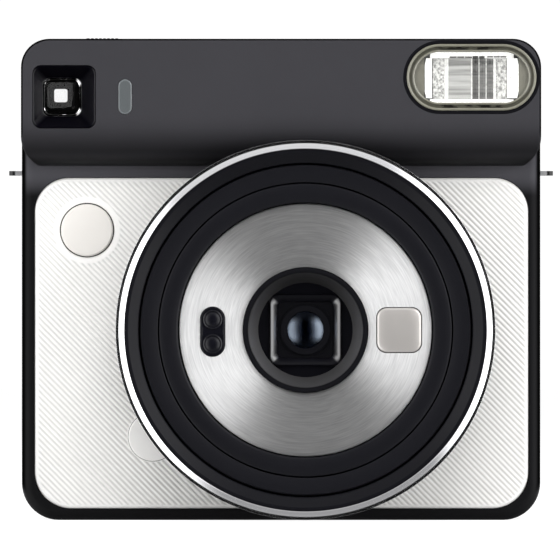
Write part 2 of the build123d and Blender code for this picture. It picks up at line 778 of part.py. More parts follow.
with BuildPart() as shutter_plate:
    add(rod(SHUTTER_R, LENS_X, LENS_Z, SHUTTER_PLATE_Y, SHUTTER_PLATE_Y + PLATE_T))
    for turn in (90, 210, 330):
        post_x = LENS_X + POST_RING_R * math.cos(math.radians(turn))
        post_z = LENS_Z + POST_RING_R * math.sin(math.radians(turn))
        add(rod(1.1, post_x, post_z, PLATE_BACK_Y + 1.2, SHUTTER_PLATE_Y))
    for side in (-1, 1):
        pivot_z = LENS_Z + side * BLADE_PIVOT_DZ
        add(rod(BLADE_PIN_R, LENS_X + BLADE_PIVOT_DX, pivot_z, SHUTTER_PLATE_Y, COVER_Y0))
    add(rod(3.0, LENS_X, LENS_Z, SHUTTER_PLATE_Y - 1, COVER_Y1), mode=Mode.SUBTRACT)
shutter_plate.part.label = "shutter_plate"
export_step(shutter_plate.part, "parts/shutter_plate.step")


def blade(side, y0):
    """Shutter blade that reaches from its pivot across the lens axis."""
    pivot = (LENS_X + BLADE_PIVOT_DX, LENS_Z + side * BLADE_PIVOT_DZ)
    with BuildPart() as leaf:
        with BuildSketch(facing_front(y0 + BLADE_T)):
            with Locations((LENS_X + BLADE_PIVOT_DX / 2, LENS_Z + side * BLADE_PIVOT_DZ / 2)):
                SlotCenterToCenter(
                    math.hypot(BLADE_PIVOT_DX, BLADE_PIVOT_DZ),
                    2 * BLADE_HALF_W,
                    rotation=math.degrees(math.atan2(side * BLADE_PIVOT_DZ, BLADE_PIVOT_DX)),
                )
        extrude(amount=BLADE_T)
        add(rod(BLADE_BORE_R, pivot[0], pivot[1], y0 - 1, y0 + 1), mode=Mode.SUBTRACT)
    return leaf.part


with BuildPart() as shutter_blade_upper:
    add(blade(1, BLADE_Y0))
shutter_blade_upper.part.label = "shutter_blade_upper"
export_step(shutter_blade_upper.part, "parts/shutter_blade_upper.step")

with BuildPart() as shutter_blade_lower:
    add(blade(-1, LOWER_BLADE_Y0))
shutter_blade_lower.part.label = "shutter_blade_lower"
export_step(shutter_blade_lower.part, "parts/shutter_blade_lower.step")

with BuildPart() as shutter_cover:
    revolve(
        turned(
            (
                (3.0, COVER_Y0),
                (SHUTTER_R, COVER_Y0),
                (SHUTTER_R, COVER_Y1),
                (6.5, COVER_Y1),
                (6.5, -8.5),
                (LENS_BORE_R, -8.5),
                (LENS_BORE_R, COVER_Y1 + 0.1),
                (3.0, COVER_Y1 + 0.1),
            ),
            LENS_X,
            LENS_Z,
        ),
        axis=LENS_AXIS,
    )
shutter_cover.part.label = "shutter_cover"
export_step(shutter_cover.part, "parts/shutter_cover.step")

with BuildPart() as rear_lens:
    revolve(lens_face(-11.5, -10.3, -12.2, -9.6), axis=LENS_AXIS)
rear_lens.part.label = "rear_lens"
export_step(rear_lens.part, "parts/rear_lens.step")

# ---- range finder and selfie mirror on the face plate ----

RANGE_X = LENS_X + RANGE_DX
RANGE_Z = LENS_Z + RANGE_DZ

with BuildPart() as range_window:
    extrude(upright_slot(RANGE_W, RANGE_H, RANGE_X, RANGE_Z, -22.6), amount=3.1)
    fillet(range_window.faces().sort_by(Axis.Y)[0].edges(), 0.25)
    for side in (-1, 1):
        add(rod(2.05, RANGE_X, RANGE_Z + side * RANGE_LENS_DZ, -26, -23.2), mode=Mode.SUBTRACT)
range_window.part.label = "range_window"
export_step(range_window.part, "parts/range_window.step")

with BuildPart() as range_lenses:
    for side in (-1, 1):
        add(rod(2.0, RANGE_X, RANGE_Z + side * RANGE_LENS_DZ, -25.5, -23.2))
    fillet(range_lenses.faces().group_by(Axis.Y)[0].edges(), 0.6)
range_lenses.part.label = "range_lenses"
export_step(range_lenses.part, "parts/range_lenses.step")

with BuildPart() as selfie_mirror:
    extrude(soft_square(MIRROR_SIDE, MIRROR_CORNER_R, LENS_X + MIRROR_DX, LENS_Z, PLATE_BACK_Y), amount=1.5)
    fillet(selfie_mirror.faces().sort_by(Axis.Y)[0].edges(), 0.45)
selfie_mirror.part.label = "selfie_mirror"
export_step(selfie_mirror.part, "parts/selfie_mirror.step")

# ---- chassis with the film room ----

with BuildPart() as chassis:
    room_x0 = ROOM_X0 - WALL
    room_x1 = ROOM_X1 + WALL
    room_z0 = ROOM_Z0 - WALL
    room_z1 = ROOM_Z1 + 1
    add(block(room_x0, room_x1, FILM_WALL_Y0, ROOM_BACK_Y, room_z0, room_z1))
    add(block(ROOM_X0, ROOM_X1, FILM_WALL_Y1, ROOM_BACK_Y + 1, ROOM_Z0, ROOM_Z1), mode=Mode.SUBTRACT)
    add(rod(HOUSING_FLANGE_R, LENS_X, LENS_Z, -3.45, FILM_WALL_Y0))
    add(rod(HOUSING_NECK_R + 0.4, LENS_X, LENS_Z, -4, FILM_WALL_Y0), mode=Mode.SUBTRACT)
    half = PICTURE_SIDE / 2
    add(
        block(LENS_X - half, LENS_X + half, 6, FILM_WALL_Y1 + 1, LENS_Z - half, LENS_Z + half),
        mode=Mode.SUBTRACT,
    )
    # film slot in the top and claw slot in the side
    add(block(ROOM_X0, ROOM_X1, FILM_Y - 1.2, FILM_Y + 1.2, ROOM_Z1 - 1, room_z1 + 1), mode=Mode.SUBTRACT)
    add(block(room_x0 - 1, ROOM_X0 + 1, 10.0, 13.8, 11.5, 22.0), mode=Mode.SUBTRACT)
chassis.part.label = "chassis"
export_step(chassis.part, "parts/chassis.step")

# ---- roller frame ----

DRIVE_Y = FILM_Y - ROLLER_SPACING / 2
PINCH_Y = FILM_Y + ROLLER_SPACING / 2

with BuildPart() as roller_frame:
    add(block(EAR_LEFT_X, EAR_RIGHT_X + EAR_T, 3.0, 20.0, 98.1, 99.1))
    add(block(EAR_LEFT_X, EAR_LEFT_X + EAR_T, 3.0, 20.0, 98.1, 109.5))
    add(block(EAR_LEFT_X, EAR_LEFT_X + EAR_T, -4.0, 6.0, 92.0, 101.0))
    add(block(EAR_RIGHT_X, EAR_RIGHT_X + EAR_T, 3.0, 20.0, 98.1, 109.5))
    add(cross_rod(1.0, IDLER_Y, IDLER_Z, GEAR_X0 - 0.6, EAR_LEFT_X + 0.2))
    for y in (DRIVE_Y, PINCH_Y):
        add(cross_rod(SHAFT_HOLE_R, y, ROLLER_Z, EAR_LEFT_X - 1, EAR_RIGHT_X + 3), mode=Mode.SUBTRACT)
    add(block(ROOM_X0, ROOM_X1, FILM_Y - 1.5, FILM_Y + 1.5, 97, 100), mode=Mode.SUBTRACT)
roller_frame.part.label = "roller_frame"
export_step(roller_frame.part, "parts/roller_frame.step")

DRIVE_PHASE = 0.0
PINCH_PHASE = meshed_phase(DRIVE_PHASE, ROLLER_TEETH, 0.0, ROLLER_TEETH)
IDLER_DIRECTION = math.degrees(math.atan2(IDLER_Z - ROLLER_Z, IDLER_Y - DRIVE_Y)) % 360
IDLER_PHASE = meshed_phase(DRIVE_PHASE, ROLLER_TEETH, IDLER_DIRECTION, IDLER_TEETH)
PINION_REACH = GEAR_MODULE * (IDLER_TEETH + PINION_TEETH) / 2
MOTOR_Z = IDLER_Z - math.sqrt(PINION_REACH ** 2 - (MOTOR_Y - IDLER_Y) ** 2)
PINION_DIRECTION = math.degrees(math.atan2(MOTOR_Z - IDLER_Z, MOTOR_Y - IDLER_Y)) % 360
PINION_PHASE = meshed_phase(IDLER_PHASE, IDLER_TEETH, PINION_DIRECTION, PINION_TEETH)


def roller(y, phase, grooves):
    """Film roller with its shaft and gear."""
    with BuildPart() as body:
        add(cross_rod(ROLLER_R, y, ROLLER_Z, ROLLER_X0, ROLLER_X1))
        for i in range(grooves):
            x = ROLLER_X0 + (i + 1) * (ROLLER_X1 - ROLLER_X0) / (grooves + 1)
            with BuildSketch(Plane.YZ.offset(x)):
                with Locations((y, ROLLER_Z)):
                    Circle(ROLLER_R + 1)
                    Circle(ROLLER_R - 0.6, mode=Mode.SUBTRACT)
            extrude(amount=1.0, both=True, mode=Mode.SUBTRACT)
        add(cross_rod(SHAFT_R, y, ROLLER_Z, GEAR_X0 - 0.4, EAR_RIGHT_X + EAR_T + 1.2))
        extrude(gear_face(ROLLER_TEETH, phase, y, ROLLER_Z, GEAR_X0), amount=GEAR_X1 - GEAR_X0)
    return body.part


with BuildPart() as drive_roller:
    add(roller(DRIVE_Y, DRIVE_PHASE, 2))
drive_roller.part.label = "drive_roller"
export_step(drive_roller.part, "parts/drive_roller.step")

with BuildPart() as pinch_roller:
    add(roller(PINCH_Y, PINCH_PHASE, 0))
pinch_roller.part.label = "pinch_roller"
export_step(pinch_roller.part, "parts/pinch_roller.step")

with BuildPart() as idler_gear:
    extrude(gear_face(IDLER_TEETH, IDLER_PHASE, IDLER_Y, IDLER_Z, GEAR_X0), amount=GEAR_X1 - GEAR_X0)
    add(cross_rod(1.05, IDLER_Y, IDLER_Z, GEAR_X0 - 1, GEAR_X1 + 1), mode=Mode.SUBTRACT)
idler_gear.part.label = "idler_gear"
export_step(idler_gear.part, "parts/idler_gear.step")

with BuildPart() as film_motor:
    add(cross_rod(MOTOR_R, MOTOR_Y, MOTOR_Z, MOTOR_X0, MOTOR_X1))
    fillet(film_motor.faces().filter_by(Plane.YZ).edges(), 0.8)
    add(cross_rod(2.6, MOTOR_Y, MOTOR_Z, MOTOR_X1, MOTOR_X1 + 1.2))
    add(cross_rod(MOTOR_SHAFT_R + 0.05, MOTOR_Y, MOTOR_Z, MOTOR_X1 - 4, MOTOR_X1 + 2), mode=Mode.SUBTRACT)
film_motor.part.label = "film_motor"
export_step(film_motor.part, "parts/film_motor.step")

with BuildPart() as motor_pinion:
    extrude(gear_face(PINION_TEETH, PINION_PHASE, MOTOR_Y, MOTOR_Z, GEAR_X0), amount=GEAR_X1 - GEAR_X0)
    add(cross_rod(MOTOR_SHAFT_R, MOTOR_Y, MOTOR_Z, MOTOR_X1 - 3.8, GEAR_X1))
motor_pinion.part.label = "motor_pinion"
export_step(motor_pinion.part, "parts/motor_pinion.step")

with BuildPart() as eject_claw:
    add(block(-36.9, -35.1, 10.6, 13.2, 12.2, 34.0))
    add(block(-36.9, -32.2, 10.6, 13.2, 12.2, 14.2))
    add(block(-38.4, -36.9, 11.4, 12.4, 20.0, 34.0))
eject_claw.part.label = "eject_claw"
export_step(eject_claw.part, "parts/eject_claw.step")

# ---- viewfinder ----

BEZEL_FRONT_Y = -18.3
BEZEL_BACK_Y = -11.2
FUNNEL_SIDE = 12.8
FINDER_WINDOW = 9.3
FINDER_SHIFT = -0.6

with BuildPart() as viewfinder_bezel:
    extrude(
        soft_square(BEZEL_SIDE - 0.3, BEZEL_R - 0.15, FINDER_X, FINDER_Z, BEZEL_BACK_Y),
        amount=BEZEL_BACK_Y - BEZEL_FRONT_Y,
    )
    fillet(viewfinder_bezel.faces().sort_by(Axis.Y)[0].edges(), 0.3)
    loft(
        (
            soft_square(FUNNEL_SIDE, 1.6, FINDER_X, FINDER_Z, BEZEL_FRONT_Y).face(),
            soft_square(FINDER_WINDOW, 1.0, FINDER_X + FINDER_SHIFT, FINDER_Z, BEZEL_BACK_Y).face(),
        ),
        mode=Mode.SUBTRACT,
    )
viewfinder_bezel.part.label = "viewfinder_bezel"
export_step(viewfinder_bezel.part, "parts/viewfinder_bezel.step")

with BuildPart() as viewfinder_tube:
    extrude(soft_square(TUBE_SIDE, 1.2, FINDER_X, FINDER_Z, TUBE_BACK_Y), amount=TUBE_BACK_Y - BEZEL_BACK_Y)
    add(
        block(
            FINDER_X,
            SHELF_X1,
            TIMER_Y - 4,
            TIMER_Y + 4,
            FINDER_Z + TUBE_SIDE / 2 - 0.2,
            FINDER_Z + TUBE_SIDE / 2 + 1.5,
        )
    )
    extrude(
        soft_square(TUBE_SIDE - 2 * TUBE_WALL, 0.6, FINDER_X, FINDER_Z, TUBE_BACK_Y + 1),
        amount=TUBE_BACK_Y - BEZEL_BACK_Y + 2,
        mode=Mode.SUBTRACT,
    )
viewfinder_tube.part.label = "viewfinder_tube"
export_step(viewfinder_tube.part, "parts/viewfinder_tube.step")

FINDER_LENS_SIDE = TUBE_SIDE - 2 * TUBE_WALL - 0.1

with BuildPart() as viewfinder_lens:
    extrude(soft_square(FINDER_LENS_SIDE, 0.6, FINDER_X, FINDER_Z, -8.2), amount=2.8)
    for y in (-8.2 + 30.0 - 0.9, -11.0 - 30.0 + 0.9):
        with BuildSketch(Plane((FINDER_X, y, FINDER_Z))):
            Circle(30.0)
            with Locations((-30.0, 0)):
                Rectangle(60.0, 60.0, mode=Mode.SUBTRACT)
        revolve(axis=Axis((FINDER_X, 0, FINDER_Z), (0, 1, 0)), mode=Mode.SUBTRACT)
viewfinder_lens.part.label = "viewfinder_lens"
export_step(viewfinder_lens.part, "parts/viewfinder_lens.step")

with BuildPart() as eyepiece_rim:
    extrude(soft_square(EYE_SIDE, 2.0, FINDER_X, FINDER_Z, PROUD_Y), amount=PROUD_Y - TUBE_BACK_Y - 0.05)
    fillet(eyepiece_rim.faces().sort_by(Axis.Y)[-1].edges(), 0.35)
    extrude(soft_square(EYE_OPEN, 1.2, FINDER_X, FINDER_Z, PROUD_Y + 1), amount=5, mode=Mode.SUBTRACT)
eyepiece_rim.part.label = "eyepiece_rim"
export_step(eyepiece_rim.part, "parts/eyepiece_rim.step")

with BuildPart() as eyepiece_lens:
    extrude(soft_square(FINDER_LENS_SIDE, 0.6, FINDER_X, FINDER_Z, TUBE_BACK_Y - 0.1), amount=1.8)
    extrude(soft_square(EYE_OPEN - 0.2, 1.1, FINDER_X, FINDER_Z, 28.2), amount=28.2 - TUBE_BACK_Y + 0.2)
eyepiece_lens.part.label = "eyepiece_lens"
export_step(eyepiece_lens.part, "parts/eyepiece_lens.step")

with BuildPart() as sensor_window:
    extrude(
        upright_slot(SENSOR_W - 0.15, SENSOR_H - 0.15, SENSOR_X, FINDER_Z, BROW_Y + 2.2), amount=2.35
    )
    fillet(sensor_window.faces().sort_by(Axis.Y)[0].edges(), 0.3)
sensor_window.part.label = "sensor_window"
export_step(sensor_window.part, "parts/sensor_window.step")

# ---- flash ----

with BuildPart() as flash_window:
    extrude(flash_outline(0.15, BROW_Y + 2.4), amount=2.65)
    fillet(flash_window.faces().sort_by(Axis.Y)[0].edges(), 0.5)
    extrude(flash_outline(FLASH_RIM, BROW_Y + 2.4), amount=1.2, mode=Mode.SUBTRACT)
flash_window.part.label = "flash_window"
export_step(flash_window.part, "parts/flash_window.step")

REFLECTOR_FRONT_Y = BROW_Y + 1.3
REFLECTOR_BACK_Y = -6.5


def reflector_mouth(width, height, corner, y):
    """Rectangle with cut corners, facing the front, for the reflector."""
    with BuildSketch(facing_front(y)) as mouth:
        with Locations((FLASH_X, FLASH_Z)):
            Rectangle(width, height)
        chamfer(mouth.vertices(), corner)
    return mouth.sketch


with BuildPart() as flash_reflector:
    extrude(flash_outline(FLASH_RIM + 0.1, BROW_Y + 2.6), amount=1.3)
    extrude(reflector_mouth(REFLECTOR_W + 1.2, REFLECTOR_H + 1.2, 1.5, REFLECTOR_BACK_Y), amount=9.0)
    loft(
        (
            reflector_mouth(REFLECTOR_W, REFLECTOR_H, 1.4, REFLECTOR_FRONT_Y).face(),
            reflector_mouth(REFLECTOR_W - 3.0, 5.0, 0.8, REFLECTOR_BACK_Y - 0.7).face(),
        ),
        mode=Mode.SUBTRACT,
    )
    add(cross_rod(1.6, -9.6, FLASH_Z, FLASH_X - 20, FLASH_X + 20), mode=Mode.SUBTRACT)
flash_reflector.part.label = "flash_reflector"
export_step(flash_reflector.part, "parts/flash_reflector.step")

with BuildPart() as flash_tube:
    add(cross_rod(1.5, -9.6, FLASH_Z, FLASH_X - 13.2, FLASH_X + 13.2))
    add(cross_rod(0.5, -9.6, FLASH_Z, FLASH_X - 14.6, FLASH_X + 14.6))
flash_tube.part.label = "flash_tube"
export_step(flash_tube.part, "parts/flash_tube.step")

with BuildPart() as flash_capacitor:
    add(post(CAPACITOR_R, CAPACITOR_X, CAPACITOR_Y, 22.0, 56.0))
    fillet(flash_capacitor.faces().filter_by(Plane.XY).edges(), 0.8)
    for side in (-1, 1):
        add(post(0.4, CAPACITOR_X + side * 2.5, CAPACITOR_Y, 18.5, 23.0))
flash_capacitor.part.label = "flash_capacitor"
export_step(flash_capacitor.part, "parts/flash_capacitor.step")

# ---- boards and switches ----

MAIN_BOARD_Y = 21.9
BOARD_T = 1.6
FRONT_BOARD_Y = -1.2
SWITCH_SIDE = 5.0
SWITCH_T = 1.4
PLUNGER_R = 1.2
PLUNGER_T = 0.4

with BuildPart() as main_board:
    add(block(-31.0, 60.0, MAIN_BOARD_Y, MAIN_BOARD_Y + BOARD_T, 100.5, 115.8))
    add(block(-2.0, 8.0, MAIN_BOARD_Y - 1.1, MAIN_BOARD_Y, 102.0, 112.0))
    add(block(14.0, 19.0, MAIN_BOARD_Y - 0.9, MAIN_BOARD_Y, 104.0, 108.0))
    add(block(50.0, 57.0, MAIN_BOARD_Y - 3.5, MAIN_BOARD_Y, 103.0, 112.0))
    add(rod(1.1, DIAL_X, DIAL_Z, 20, 24), mode=Mode.SUBTRACT)
main_board.part.label = "main_board"
export_step(main_board.part, "parts/main_board.step")

with BuildPart() as front_switch_board:
    add(block(-58.0, -30.0, FRONT_BOARD_Y, FRONT_BOARD_Y + BOARD_T, 8.0, 79.0))
    add(rod(HOUSING_FLANGE_R + 0.5, LENS_X, LENS_Z, -5, 5), mode=Mode.SUBTRACT)
front_switch_board.part.label = "front_switch_board"
export_step(front_switch_board.part, "parts/front_switch_board.step")

with BuildPart() as tact_switches:
    half = SWITCH_SIDE / 2
    for x, z in ((SHUTTER_X, SHUTTER_Z), (POWER_STEM_X, POWER_STEM_Z)):
        add(block(x - half, x + half, FRONT_BOARD_Y - SWITCH_T, FRONT_BOARD_Y, z - half, z + half))
        add(rod(PLUNGER_R, x, z, FRONT_BOARD_Y - SWITCH_T - PLUNGER_T, FRONT_BOARD_Y - SWITCH_T))
    front = MAIN_BOARD_Y + BOARD_T
    for x in (MODE_X, FLASH_BUTTON_X):
        add(block(x - half, x + half, front, front + SWITCH_T, BACK_ROW_Z - half, BACK_ROW_Z + half))
        add(rod(PLUNGER_R, x, BACK_ROW_Z, front + SWITCH_T, front + SWITCH_T + PLUNGER_T))
    shelf = FINDER_Z + TUBE_SIDE / 2 + 1.5
    add(block(TIMER_X - half, TIMER_X + half, TIMER_Y - half, TIMER_Y + half, shelf, shelf + SWITCH_T))
    add(post(PLUNGER_R, TIMER_X, TIMER_Y, shelf + SWITCH_T, shelf + SWITCH_T + PLUNGER_T))
tact_switches.part.label = "tact_switches"
export_step(tact_switches.part, "parts/tact_switches.step")

# ---- batteries ----

with BuildPart() as battery_holder:
    add(block(-61.9, -43.4, 5.7, 23.3, 4.2, 63.8))
    add(block(-62.5, -44.6, 6.6, 22.4, 5.8, 62.2), mode=Mode.SUBTRACT)
    # the lower corner follows the rounded corner of the shells
    extrude(body_outline(BACK_INNER_Y, WALL + 0.1), amount=BACK_INNER_Y - SEAM_Y, mode=Mode.INTERSECT)
battery_holder.part.label = "battery_holder"
export_step(battery_holder.part, "parts/battery_holder.step")

CELL_LENGTH = 26.3
CELL_NUB = 0.8

with BuildPart() as batteries:
    for z0 in (6.8, 34.0):
        add(post(CELL_R, CELL_X, CELL_Y, z0, z0 + CELL_LENGTH))
        add(post(2.8, CELL_X, CELL_Y, z0 + CELL_LENGTH, z0 + CELL_LENGTH + CELL_NUB))
batteries.part.label = "batteries"
export_step(batteries.part, "parts/batteries.step")

with BuildPart() as battery_contacts:
    add(block(CELL_X - 6, CELL_X + 6, CELL_Y - 6, CELL_Y + 6, 5.85, 6.2))
    add(post(3.5, CELL_X, CELL_Y, 6.2, 6.75))
    add(block(CELL_X - 6, CELL_X + 6, CELL_Y - 6, CELL_Y + 6, 61.8, 62.15))
    add(post(3.5, CELL_X, CELL_Y, 61.2, 61.8))
battery_contacts.part.label = "battery_contacts"
export_step(battery_contacts.part, "parts/battery_contacts.step")

with BuildPart() as battery_door:
    add(
        block(
            -HALF_W,
            -HALF_W + WALL,
            BATTERY_DOOR_Y0,
            BATTERY_DOOR_PIVOT_Y - 1.2,
            BATTERY_DOOR_Z0,
            BATTERY_DOOR_Z1,
        )
    )
    add(
        block(
            -HALF_W + 0.4,
            -HALF_W + WALL,
            BATTERY_DOOR_PIVOT_Y - 1.5,
            BATTERY_DOOR_PIVOT_Y,
            BATTERY_DOOR_Z0,
            BATTERY_DOOR_Z1,
        )
    )
    add(post(1.0, -HALF_W + 1, BATTERY_DOOR_PIVOT_Y, BATTERY_DOOR_Z0, BATTERY_DOOR_Z1))
    add(post(0.6, -HALF_W + 1, BATTERY_DOOR_PIVOT_Y, BATTERY_DOOR_Z0 - 1.4, BATTERY_DOOR_Z1 + 1.4))
    # finger grip ribs
    for i in range(5):
        y = BATTERY_DOOR_Y0 + 1.6 + i * 1.4
        add(block(-HALF_W - 1, -HALF_W + 0.5, y, y + 0.6, 28.0, 40.0), mode=Mode.SUBTRACT)
battery_door.part.label = "battery_door"
export_step(battery_door.part, "parts/battery_door.step")

# ---- film door, its window and latch ----

FILM_WINDOW_X = -20.0
FILM_WINDOW_Z = 62.0

with BuildPart() as back_door:
    add(block(DOOR_X0, DOOR_PIVOT_X, DOOR_INNER_Y, BACK_Y, DOOR_Z0, DOOR_Z1))
    add(post(DOOR_KNUCKLE_R, DOOR_PIVOT_X, DOOR_PIVOT_Y, DOOR_Z0, DOOR_Z1))
    add(post(DOOR_PIN_R, DOOR_PIVOT_X, DOOR_PIVOT_Y, DOOR_Z0 - 1.9, DOOR_Z1 + 1.9))
    # catch for the latch
    add(block(DOOR_X0, DOOR_X0 + 1.4, 23.2, DOOR_INNER_Y + 0.5, LATCH_Z - 2, LATCH_Z + 2))
    # shallow grooves near the top and the bottom of the door
    add(block(-30.0, 42.0, BACK_Y - 0.5, BACK_Y + 1, 9.5, 10.1), mode=Mode.SUBTRACT)
    add(block(-30.0, 42.0, BACK_Y - 0.5, BACK_Y + 1, 91.5, 92.1), mode=Mode.SUBTRACT)
    extrude(
        upright_slot(9.0, 32.0, FILM_WINDOW_X, FILM_WINDOW_Z, BACK_Y + 1),
        amount=4,
        mode=Mode.SUBTRACT,
    )
back_door.part.label = "back_door"
export_step(back_door.part, "parts/back_door.step")

with BuildPart() as film_window:
    extrude(upright_slot(8.85, 31.85, FILM_WINDOW_X, FILM_WINDOW_Z, BACK_Y - 0.15), amount=2.2)
film_window.part.label = "film_window"
export_step(film_window.part, "parts/film_window.step")

with BuildPart() as door_latch:
    add(block(LATCH_X - 2.9, LATCH_X + 2.9, 27.75, PROUD_Y, LATCH_Z - 6.2, LATCH_Z + 6.2))
    for i in range(5):
        z = LATCH_Z - 4.4 + i * 2.0
        add(block(LATCH_X - 3.5, LATCH_X + 3.5, PROUD_Y - 0.5, PROUD_Y + 1, z, z + 0.8), mode=Mode.SUBTRACT)
    add(block(LATCH_X - 0.95, LATCH_X + 0.95, 26.0, 28.0, LATCH_Z - 2, LATCH_Z + 2))
    add(block(LATCH_X - 2.5, -39.4, 25.0, 26.5, LATCH_Z - 3.5, LATCH_Z + 3.5))
door_latch.part.label = "door_latch"
export_step(door_latch.part, "parts/door_latch.step")

with BuildPart() as exit_flap:
    flap_x0 = LENS_X - EXIT_W / 2 + 0.2
    flap_x1 = LENS_X + EXIT_W / 2 - 0.2
    add(block(flap_x0, flap_x1, FLAP_PIVOT_Y - 0.4, 12.55, 117.6, 118.4))
    add(cross_rod(0.4, FLAP_PIVOT_Y, FLAP_PIVOT_Z, flap_x0 - 1.0, flap_x1 + 1.0))
exit_flap.part.label = "exit_flap"
export_step(exit_flap.part, "parts/exit_flap.step")

# ---- buttons ----

with BuildPart() as shutter_button:
    add(rod(SHUTTER_CAP_R, SHUTTER_X, SHUTTER_Z, -10.1, -8.6))
    fillet(shutter_button.faces().sort_by(Axis.Y)[0].edges(), 0.6)
    add(rod(SHUTTER_STEM_R, SHUTTER_X, SHUTTER_Z, -9.0, -4.0))
shutter_button.part.label = "shutter_button"
export_step(shutter_button.part, "parts/shutter_button.step")

with BuildPart() as power_button:
    add(rod(POWER_CAP_R, POWER_X, POWER_Z, -9.75, -8.5))
    fillet(power_button.faces().sort_by(Axis.Y)[0].edges(), 0.35)
    add(rod(HOUSING_NECK_R + 0.75, LENS_X, LENS_Z, -12, -5), mode=Mode.SUBTRACT)
    add(rod(POWER_STEM_R, POWER_STEM_X, POWER_STEM_Z, -9.0, -3.9))
power_button.part.label = "power_button"
export_step(power_button.part, "parts/power_button.step")

with BuildPart() as self_timer_button:
    with BuildSketch(Plane.XY.offset(BODY_H - WALL - 1.0)):
        with Locations((TIMER_X, TIMER_Y)):
            RectangleRounded(TIMER_W + 1.6, TIMER_D + 1.6, 1.4)
    extrude(amount=0.9)
    with BuildSketch(Plane.XY.offset(BODY_H - WALL - 0.5)):
        with Locations((TIMER_X, TIMER_Y)):
            RectangleRounded(TIMER_W, TIMER_D, 1.0)
    extrude(amount=TIMER_TOP_Z - BODY_H + WALL + 0.5)
    for i in range(7):
        x = TIMER_X - 3.15 + i * 1.0
        add(block(x, x + 0.4, TIMER_Y - 4, TIMER_Y + 4, TIMER_TOP_Z - 0.3, TIMER_TOP_Z + 1), mode=Mode.SUBTRACT)
self_timer_button.part.label = "self_timer_button"
export_step(self_timer_button.part, "parts/self_timer_button.step")


def back_button(x):
    """Round push button of the rear control row."""
    with BuildPart() as body:
        add(rod(BACK_CAP_R, x, BACK_ROW_Z, BACK_INNER_Y - 0.1, PROUD_Y))
        fillet(body.faces().sort_by(Axis.Y)[-1].edges(), 0.4)
        add(rod(BACK_CAP_R + 0.8, x, BACK_ROW_Z, BACK_INNER_Y - 0.75, BACK_INNER_Y - 0.1))
    return body.part


with BuildPart() as mode_button:
    add(back_button(MODE_X))
mode_button.part.label = "mode_button"
export_step(mode_button.part, "parts/mode_button.step")

with BuildPart() as flash_button:
    add(back_button(FLASH_BUTTON_X))
flash_button.part.label = "flash_button"
export_step(flash_button.part, "parts/flash_button.step")

# ---- lamps, counter dial and its window ----

with BuildPart() as indicator_lamps:
    for x in LAMP_XS:
        add(rod(LAMP_R, x, BACK_ROW_Z, 25.0, BACK_Y + 0.1))
indicator_lamps.part.label = "indicator_lamps"
export_step(indicator_lamps.part, "parts/indicator_lamps.step")

with BuildPart() as counter_window:
    extrude(soft_square(WINDOW_SIDE - 0.15, 0.75, WINDOW_X, DIAL_Z, BACK_Y), amount=1.6)
counter_window.part.label = "counter_window"
export_step(counter_window.part, "parts/counter_window.step")

with BuildPart() as counter_dial:
    add(rod(DIAL_R, DIAL_X, DIAL_Z, 24.4, 25.4))
    add(rod(1.05, DIAL_X, DIAL_Z, 22.2, 25.4))
    for i in range(10):
        turn = math.radians(i * 36)
        notch_x = DIAL_X + DIAL_R * math.cos(turn)
        notch_z = DIAL_Z + DIAL_R * math.sin(turn)
        add(rod(0.5, notch_x, notch_z, 24, 26), mode=Mode.SUBTRACT)
counter_dial.part.label = "counter_dial"
export_step(counter_dial.part, "parts/counter_dial.step")

# ---- small metal parts ----

with BuildPart() as tripod_socket:
    with BuildSketch(Plane.XZ):
        with BuildLine():
            Polyline(
                (TRIPOD_X + TRIPOD_BORE_R, 0.05),
                (TRIPOD_X + 3.9, 0.05),
                (TRIPOD_X + 3.9, WALL + 0.05),
                (TRIPOD_X + 4.9, WALL + 0.05),
                (TRIPOD_X + 4.9, WALL + 1.4),
                (TRIPOD_X + 3.9, WALL + 1.4),
                (TRIPOD_X + 3.9, TRIPOD_DEPTH + 1.2),
                (TRIPOD_X, TRIPOD_DEPTH + 1.2),
                (TRIPOD_X, TRIPOD_DEPTH + 0.05),
                (TRIPOD_X + TRIPOD_BORE_R, TRIPOD_DEPTH + 0.05),
                close=True,
            )
        make_face()
    revolve(axis=Axis((TRIPOD_X, 0, 0), (0, 0, 1)))
tripod_socket.part.label = "tripod_socket"
export_step(tripod_socket.part, "parts/tripod_socket.step")

with BuildPart() as strap_lugs:
    for side in (-1, 1):
        with BuildSketch(Plane.XY.offset(LUG_Z - LUG_T / 2)):
            with Locations((side * (HALF_W + LUG_OUT / 2 - 1.4), -0.5)):
                RectangleRounded(LUG_OUT + 2.8, 9.0, 1.2)
            with Locations((side * (HALF_W + 0.95), -0.5)):
                RectangleRounded(1.9, 6.0, 0.9, mode=Mode.SUBTRACT)
        extrude(amount=LUG_T)
strap_lugs.part.label = "strap_lugs"
export_step(strap_lugs.part, "parts/strap_lugs.step")


def screw(plane):
    """Pan head screw with a cross slot; its head seats on the plane and its shank runs along the normal."""
    with BuildPart() as body:
        with BuildSketch(plane):
            Circle(SCREW_R)
        extrude(amount=SCREW_LENGTH - 0.9)
        with BuildSketch(plane):
            Circle(SCREW_HEAD_R)
        extrude(amount=-SCREW_HEAD_T)
        with BuildSketch(plane.offset(-SCREW_HEAD_T)):
            Rectangle(2.4, 0.5)
            Rectangle(0.5, 2.4)
        extrude(amount=0.5, mode=Mode.SUBTRACT)
    return body.part


with BuildPart() as body_screws:
    for side in (-1, 1):
        add(screw(Plane(origin=(side * BOTTOM_SCREW_X, SCREW_Y, 1.0), z_dir=(0, 0, 1))))
        add(screw(Plane(origin=(side * (HALF_W - 1.0), SCREW_Y, SIDE_SCREW_Z), z_dir=(-side, 0, 0))))
body_screws.part.label = "body_screws"
export_step(body_screws.part, "parts/body_screws.step")
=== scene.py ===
import math

